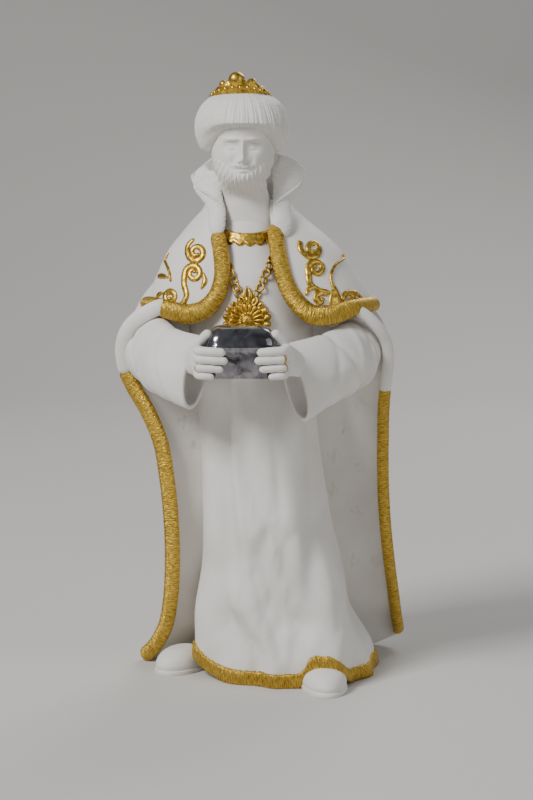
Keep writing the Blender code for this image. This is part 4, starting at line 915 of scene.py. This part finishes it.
def ball(centre, radius, columns=28, rows=14):
    """Circles between two poles, each as wide as the cosine of its latitude."""
    turn = 2 * np.pi * np.arange(columns) / columns
    tilt = np.linspace(-0.5, 0.5, rows + 2)[1:-1] * np.pi
    flat = np.cos(tilt)[:, None]
    rings = np.stack([flat * np.cos(turn), flat * np.sin(turn), np.sin(tilt)[:, None] + 0 * turn], axis=-1)
    return lofted(np.array(centre) + rings * radius)


turn = 2 * np.pi * np.arange(360) / 360
ahead = np.clip(np.cos(turn), 0, 1) ** 1.3
peak = np.abs(np.cos(CROWN_PEAKS * turn / 2)) ** 0.7
tall = CROWN_HEIGHT * (0.35 + 0.65 * ahead)
foot = CROWN_BASE + CROWN_FRONT_RISE * ahead
# Size of each ring, how far up it lies, and how much of the crest it takes
levels = through(
    [(0, 1.0, -4.5, 0), (1, 1.03, -1.0, 0), (2, 1.05, 0.3, 0), (3, 1.03, 0.62, 0.12), (4, 0.98, 0.82, 0.3),
     (5, 0.9, 0.7, 0.35), (6, 0.8, 0.35, 0.2), (7, 0.68, 0.15, 0.05), (8, 0.3, 0.1, 0.0)],
    np.linspace(0, 8, 50),
)
rings = []
for size, up, crest in levels.T:
    inner = np.clip((0.9 - size) / 0.6, 0, 1)
    z = foot + (up if up < 0 else up * tall) + crest * tall * peak
    z = z * (1 - inner) + (CROWN_BASE + 3.5) * inner
    rings.append(np.column_stack([CROWN_CENTRE[0] + CROWN_RADIUS[0] * size * np.sin(turn),
                                  CROWN_CENTRE[1] - CROWN_RADIUS[1] * size * np.cos(turn), z]))
grids = [lofted(np.array(rings))]
grids += [ball(centre, radius) for centre, radius in CROWN_BALLS]
for k in range(CROWN_PEAKS * 2):
    angle = math.pi * k / CROWN_PEAKS
    lead = max(math.cos(angle), 0) ** 1.3
    height = CROWN_BASE + CROWN_FRONT_RISE * lead + 0.5
    centre = (CROWN_CENTRE[0] + CROWN_RADIUS[0] * 1.05 * math.sin(angle),
              CROWN_CENTRE[1] - CROWN_RADIUS[1] * 1.05 * math.cos(angle), height)
    grids.append(ball(centre, CROWN_BEAD, 14, 7))
piece("crown", grids, GOLD)

# Sleeves
# Wide sleeves hang from bent arms. Each one creases at the elbow and ends in a deep cuff, which is
# hollow, with the hand coming out of it.

# Points along each forearm from behind the elbow to the cuff, half widths, half heights, lean of the cuff
SLEEVES = {
    "right": ([(-58, 15, 188), (-58, 1, 185), (-53.5, -22, 180), (-43.5, -41, 176), (-32.5, -53.5, 174)],
              [5, 14.5, 14.0, 11.5, 8.6], [6, 17.5, 18.8, 19.0, 19.5], -2.5),
    "left": ([(55, 15, 184), (54, 1, 181), (47.5, -21, 178), (34, -40, 173), (19.5, -53, 168.5)],
             [5, 14.5, 14.0, 11.5, 8.6], [6, 17.0, 18.0, 18.8, 20.8], 4.0),
}
UPPER_ARMS = {
    "right": [(-40, 6, 214), (-52, 3, 200), (-58, 1, 186)],
    "left": [(38, 6, 214), (50, 3, 200), (54, 1, 184)],
}
UPPER_ARM_RADIUS = 14.0
SLEEVE_WALL = 2.2
CUFF_DEPTH = 11.0
# Depth of each crease, its place along the arm, its half width, and its lean round the sleeve
CREASES = [(-1.9, 0.34, 0.026, 0.08), (-1.5, 0.45, 0.024, -0.09), (1.2, 0.39, 0.026, 0.02),
           (-1.3, 0.59, 0.026, 0.10), (1.0, 0.53, 0.028, -0.04), (-0.8, 0.74, 0.028, -0.08)]


def sleeve_rings(name, rows, columns):
    """Upright ovals along the arm, narrower at the top, with each crease a bell across the arm."""
    points, wide, high, lean = SLEEVES[name]
    path = along(points, rows)
    share = np.linspace(0, 1, rows)
    wide, high = through(np.column_stack([np.linspace(0, 1, len(wide)), wide, high]), share)
    flat = np.gradient(path, axis=0)
    flat[:, 2] *= 0.3
    forward = unit(flat)
    across = unit(np.cross(forward, [0, 0, 1.0]))
    upward = unit(np.cross(across, forward))
    turn = 2 * np.pi * np.arange(columns) / columns
    sine, cosine = np.sin(turn), np.cos(turn)
    pinch = 1 - 0.25 * share[:, None] * np.clip(sine, 0, 1)
    ring = across[:, None] * (cosine * wide[:, None] * pinch)[..., None]
    ring = ring + upward[:, None] * (sine * high[:, None])[..., None]
    fold = 0 * pinch
    for depth, place, spread, slant in CREASES:
        fold = fold + depth * np.exp(-(((share[:, None] - place - slant * sine) / spread) ** 2))
    ring = ring + unit(ring) * (fold * (0.8 - 0.35 * sine))[..., None]
    ring[..., 0] += lean * (share**2)[:, None] * -sine
    return path[:, None] + ring, forward[-1]


for name in SLEEVES:
    rings, forward = sleeve_rings(name, 130, 110)
    mouth = rings[-1]
    centre = mouth.mean(axis=0)
    reach = mouth - centre
    wall = SLEEVE_WALL / np.linalg.norm(reach, axis=1, keepdims=True)
    inner = []
    for shift, thin in [(0.35, 0.15), (0.55, 0.35), (0.55, 0.65), (0.35, 0.85), (0.0, 1.0)]:
        inner.append(centre + reach * (1 - wall * thin) + forward * shift)
    for shift, size in [(-1.5, 0.99), (-4, 0.96), (-7, 0.88), (-9, 0.7), (-CUFF_DEPTH, 0.4)]:
        inner.append(centre + reach * (1 - wall) * size + forward * shift)
    piece(f"sleeve_{name}", [lofted(np.concatenate([rings, np.array(inner)]))], BISCUIT)
    path = along(UPPER_ARMS[name], 40)
    arm = roll(path, [0, -1.0, 0], UPPER_ARM_RADIUS, UPPER_ARM_RADIUS, 40, tip=6.0)
    piece(f"upper_arm_{name}", [arm], BISCUIT)

# Hands
# Both hands hold the casket by its ends: the thumb on the lid and four fingers round the front.
# Thin gold rings are painted on three fingers.

CASKET_WIDTH = 38.0
CASKET_DEPTH = 27.0
CASKET_WALL = 16.5
CASKET_LID = 10.0
CASKET_PLACE = np.array([-8.3, -64.0, 173.6])
FINGER = 2.2
# Height as a share of the casket's wall, how far in from its end the tip is, thickness
FINGERS = [(0.86, 11.0, 1.12), (0.60, 12.2, 1.06), (0.33, 9.8, 0.95), (0.08, 5.0, 0.88)]
RINGED = {-1: [2], 1: [1, 2]}
RING_PROUD = 0.22

skin, bands = {-1: [], 1: []}, []
for side in (-1, 1):
    end = CASKET_PLACE[0] + side * CASKET_WIDTH / 2
    front = CASKET_PLACE[1] - CASKET_DEPTH / 2
    base = CASKET_PLACE[2]
    for i, (rise, reach, thick) in enumerate(FINGERS):
        radius = FINGER * thick
        z = base + CASKET_WALL * rise
        path = along([(end + side * 3.8, front + 11.0, z + 1.2), (end + side * 3.8, front + 4.5, z + 0.8),
                      (end + side * 2.2, front - 0.4, z + 0.5),
                      (end - side * 2.6, front - radius * 0.75, z + 0.3),
                      (end - side * reach, front - radius * 0.62, z - 0.3)], 80)
        share = np.linspace(0, 1, 80)
        middle_joint = 0.07 * np.exp(-(((share - 0.46) / 0.06) ** 2))
        end_joint = 0.05 * np.exp(-(((share - 0.74) / 0.05) ** 2))
        slim = (1 + middle_joint + end_joint) * (1.04 - 0.14 * share)
        skin[side].append(roll(path, [0, 0, 1.0], radius * slim, radius * slim, 24, tip=radius * 1.1))
        if i in RINGED[side]:
            part = slice(33, 38)
            proud = radius * slim[part] + RING_PROUD
            bands.append(roll(path[part], [0, 0, 1.0], proud, proud, 24, tip=0.35))
    thumb = along([(end + side * 4.2, front + 14, base + CASKET_WALL * 0.80),
                   (end + side * 2.2, front + 9, base + CASKET_WALL * 1.12),
                   (end - side * 3.0, front + 6.0, base + CASKET_WALL * 1.46)], 40)
    skin[side].append(roll(thumb, [0, -1.0, 0.2], FINGER * 1.15, FINGER * 1.1, 24))
    elbow, cuff = np.array(SLEEVES["right" if side < 0 else "left"][0][-2:], float)
    wrist = elbow + (cuff - elbow) * 0.4 + [0, 0, 4.0]
    middle = (wrist + np.array([end + side * 4.6, front + 13, base + CASKET_WALL * 0.50])) / 2
    palm = along([wrist, middle,
                  (end + side * 4.6, front + 13, base + CASKET_WALL * 0.50),
                  (end + side * 3.6, front + 6.5, base + CASKET_WALL * 0.50)], 40)
    wide = over([(0, 5.5), (0.4, 6.8), (0.75, 8.4), (1, 7.8)], 40)
    skin[side].append(roll(palm, [1.0, 0, 0], wide, 3.4, 32, tip=3.0))
piece("hand_right", skin[-1], BISCUIT)
piece("hand_left", skin[1], BISCUIT)
piece("finger_rings", bands, GOLD)

# Neckband, chain and pendant
# A scalloped gilt band edges the neckline. A chain of round links hangs from under the cape's fur
# and carries a sunburst of petals in two layers round a small boss.

PENDANT_CENTRE = (-5.6, 199.5)
PENDANT_RADIUS = 12.8
PENDANT_PETALS = 18
CHAIN_LINKS = 8
# The line of each half of the chain, as x and z seen from the front
CHAIN_LINES = [
    [(-17.5, 234.0), (-13.0, 221.0), (-8.6, 209.5)],
    [(8.6, 234.0), (3.0, 221.0), (-2.0, 209.5)],
]


def chest_point(x, z, lift):
    """A point on the gown's front, lifted along the outward direction, which comes from its slopes."""
    tilt = (gown_front(x, z + 2) - gown_front(x, z - 2)) / 4
    turn = (gown_front(x + 2, z) - gown_front(x - 2, z)) / 4
    facing = np.array([turn, -1.0, tilt])
    facing = facing / np.linalg.norm(facing)
    return np.array([x, gown_front(x, z), z]) + facing * lift, facing


def link(centre, first, second, major, minor):
    """A torus: a small circle carried round a large one in the plane of two directions."""
    turn = 2 * np.pi * np.arange(28) / 28
    wheel = 2 * np.pi * np.arange(12) / 12
    out = np.cos(turn)[:, None] * first + np.sin(turn)[:, None] * second
    axle = np.cross(first, second)
    reach = out[:, None] * (major + minor * np.cos(wheel))[:, None]
    rings = centre + reach + axle * (minor * np.sin(wheel))[:, None]
    r, c = np.meshgrid(np.arange(28), np.arange(12), indexing="ij")
    s, d = (r + 1) % 28, (c + 1) % 12
    quads = np.stack([r * 12 + c, r * 12 + d, s * 12 + d, s * 12 + c], -1).reshape(-1, 4)
    return rings.reshape(-1, 3), [quads], [np.zeros((len(quads), 4, 2))]


# Share of the band's height from the top down, and how far it stands off the gown
NECKBAND_SECTION = [(-0.15, -1.5), (0.0, 0.6), (0.12, 1.5), (0.3, 1.1), (0.5, 1.0), (0.7, 1.2), (0.88, 1.5),
                    (1.0, 0.7), (1.08, -1.5)]
x = np.linspace(-20.5, 9.0, 150)
top = 244.5 + 0.012 * (x + 5.7) ** 2
low = top - 5.2 - 1.6 * np.abs(np.cos(np.pi * np.arange(150) / 150 * 5.5))
rows = []
for part, lift in NECKBAND_SECTION:
    height = top + (low - top) * part
    rows.append([chest_point(a, b, lift)[0] for a, b in zip(x, height)])
band = np.moveaxis(np.array(rows), 0, 1)
piece("neckband", [lofted(band)], GOLD)

grids = []
for line in CHAIN_LINES:
    places = along([(x, z, 0) for x, z in line], CHAIN_LINKS)
    for i, (x, z, _) in enumerate(places):
        centre, facing = chest_point(x, z, 1.3)
        run = unit(places[min(i + 1, CHAIN_LINKS - 1)] - places[max(i - 1, 0)])
        down = unit(np.array([run[0], 0.0, run[1]]) - facing * np.dot([run[0], 0.0, run[1]], facing))
        flat = np.cross(facing, down)
        sway = 0.45 if i % 2 else -0.45
        leaned = unit(flat * math.cos(sway) + facing * math.sin(sway))
        grids.append(link(centre, down * 1.18, leaned, 1.9, 0.6))
piece("chain", grids, GOLD)

centre, facing = chest_point(*PENDANT_CENTRE, 0.4)
facing = unit(facing + np.array([0, 0, 0.12]))
right = unit(np.cross([0, 0, 1.0], -facing))
upward = np.cross(right, -facing)
upward = upward * np.sign(upward[2])
turn = 2 * np.pi * np.arange(432) / 432
outer = np.sin(turn)[:, None] * right + np.cos(turn)[:, None] * upward
petal = np.abs(np.cos(PENDANT_PETALS * turn / 2)) ** 0.55
between = np.abs(np.sin(PENDANT_PETALS * turn / 2)) ** 0.55
# Share of the radius, lift of the ridges, lift of the grooves, and whether the outer or inner petals show
profile = [
    (0.80, -2.6, -2.6, 0), (0.84, -0.8, -0.8, 0), (0.85, 0.9, 0.0, 0), (0.83, 1.7, 0.1, 0),
    (0.78, 2.0, 0.2, 0), (0.70, 2.0, 0.3, 0), (0.62, 1.8, 0.4, 0), (0.57, 1.6, 0.6, 0),
    (0.56, 2.6, 1.0, 1), (0.50, 3.0, 1.2, 1),
    (0.42, 2.8, 1.3, 1), (0.34, 2.3, 1.4, 1), (0.27, 1.9, 1.6, 1), (0.24, 2.9, 2.9, 1), (0.20, 3.7, 3.7, 1),
    (0.13, 4.2, 4.2, 1), (0.05, 4.5, 4.5, 1),
]
rings = []
for size, ridge, groove, inner in profile:
    shape = between if inner else petal
    flare = 0.17 * shape * np.clip((size - 0.3) / 0.25, 0, 1)
    lift = groove + (ridge - groove) * shape
    rings.append(centre + outer * ((size + flare) * PENDANT_RADIUS)[:, None] + facing * lift[:, None])
grids = [lofted(np.array(rings))]
for shift in (-1, 1):
    tip = along([centre + upward * 8.5 + right * 0.9 * shift + facing * 0.8,
                 centre + upward * 13.5 + right * 1.7 * shift + facing * 1.6,
                 centre + upward * 18.5 + right * 0.3 * shift + facing * 1.0], 40)
    wide = over([(0, 0.9), (0.5, 1.1), (1, 0.5)], 40)
    grids.append(roll(tip, facing, wide, 0.9, 14))
piece("pendant", grids, GOLD)

# Shoes
# Soft round-toed shoes on thin soles show under the hem.

# Heel x and y, toe x and y, half width
SHOES = {"right": ((-33.0, 18.0), (-53.0, -12.0), 12.0), "left": ((34.0, -12.0), (37.5, -59.5), 12.5)}
# Height, and share of the sole's size there: the sole's edge, the groove over it, and the upper
SHOE_PROFILE = [(0.0, 0.99), (0.6, 1.0), (2.0, 1.0), (2.35, 0.985), (2.5, 0.95), (2.9, 0.955), (5.0, 0.97),
                (8.0, 0.9), (10.5, 0.75), (12.2, 0.55), (12.8, 0.42), (13.0, 0.3), (13.05, 0.1)]
for name, (heel, toe, half) in SHOES.items():
    heel, toe = np.array([*heel, 0.0]), np.array([*toe, 0.0])
    length = np.linalg.norm(toe - heel)
    forward = (toe - heel) / length
    across = np.array([-forward[1], forward[0], 0.0])
    turn = 2 * np.pi * np.arange(120) / 120
    outline = np.cos(turn)[:, None] * forward * length / 2 * 1.02 + np.sin(turn)[:, None] * across * half
    level = np.linspace(0, len(SHOE_PROFILE) - 1, 70)
    height, size = through([(k, *row) for k, row in enumerate(SHOE_PROFILE)], level)
    rings = [(heel + toe) / 2 + outline * s + np.array([0, 0, max(h, 0.02)]) for h, s in zip(height, size)]
    piece(f"shoe_{name}", [lofted(np.array(rings))], BISCUIT)

# Casket
# A small closed chest with a full, rounded lid, its rim beaten a little uneven. It is glazed and
# fired with platinum all over.

CASKET_CORNER = 7.5
CASKET_RIM = 0.8
RIM_WAVE = 0.4


def casket_outline(half_width, half_depth, corner, count=28):
    """A rectangle with round corners: four quarter circles, counted from the right front corner."""
    corner = min(corner, half_width * 0.9, half_depth * 0.9)
    points = []
    for k in range(4):
        sx, sy = (1, 1, -1, -1)[k], (-1, 1, 1, -1)[k]
        for j in range(count):
            angle = math.radians(-90 + 90 * k + 90 * j / (count - 1))
            points.append((sx * (half_width - corner) + corner * math.cos(angle),
                           sy * (half_depth - corner) + corner * math.sin(angle)))
    return np.array(points)


# Height and inset from the wall, from the underside to the top of the lid
levels = [(0.0, -1.6), (0.5, -0.8), (1.4, -0.3), (CASKET_WALL * 0.5, 0.0), (CASKET_WALL - 2.2, -0.1),
          (CASKET_WALL - 1.5, CASKET_RIM * 0.7), (CASKET_WALL - 0.6, CASKET_RIM),
          (CASKET_WALL + 0.3, CASKET_RIM * 0.6), (CASKET_WALL + 0.8, -0.4),
          (CASKET_WALL + CASKET_LID * 0.5, -1.8), (CASKET_WALL + CASKET_LID * 0.85, -4.6),
          (CASKET_WALL + CASKET_LID * 0.97, -7.4), (CASKET_WALL + CASKET_LID, -10.0)]
level = np.linspace(0, len(levels) - 1, 96)
height, inset = through([(k, *row) for k, row in enumerate(levels)], level)
rings = []
for h, i in zip(height, inset):
    flat = casket_outline(CASKET_WIDTH / 2 + i, CASKET_DEPTH / 2 + i, CASKET_CORNER + i * 0.5)
    near_rim = math.exp(-(((h - CASKET_WALL + 0.4) / 1.6) ** 2))
    slow_wave = np.sin(0.55 * flat[:, 0] + 0.8)
    quick_wave = np.sin(1.3 * flat[:, 0] - 0.4 * flat[:, 1])
    uneven = RIM_WAVE * near_rim * (slow_wave + 0.6 * quick_wave)
    rings.append(np.column_stack([flat, h + uneven]) + CASKET_PLACE)
piece("casket_lustre", [lofted(np.array(rings))], PLATINUM, node="casket")
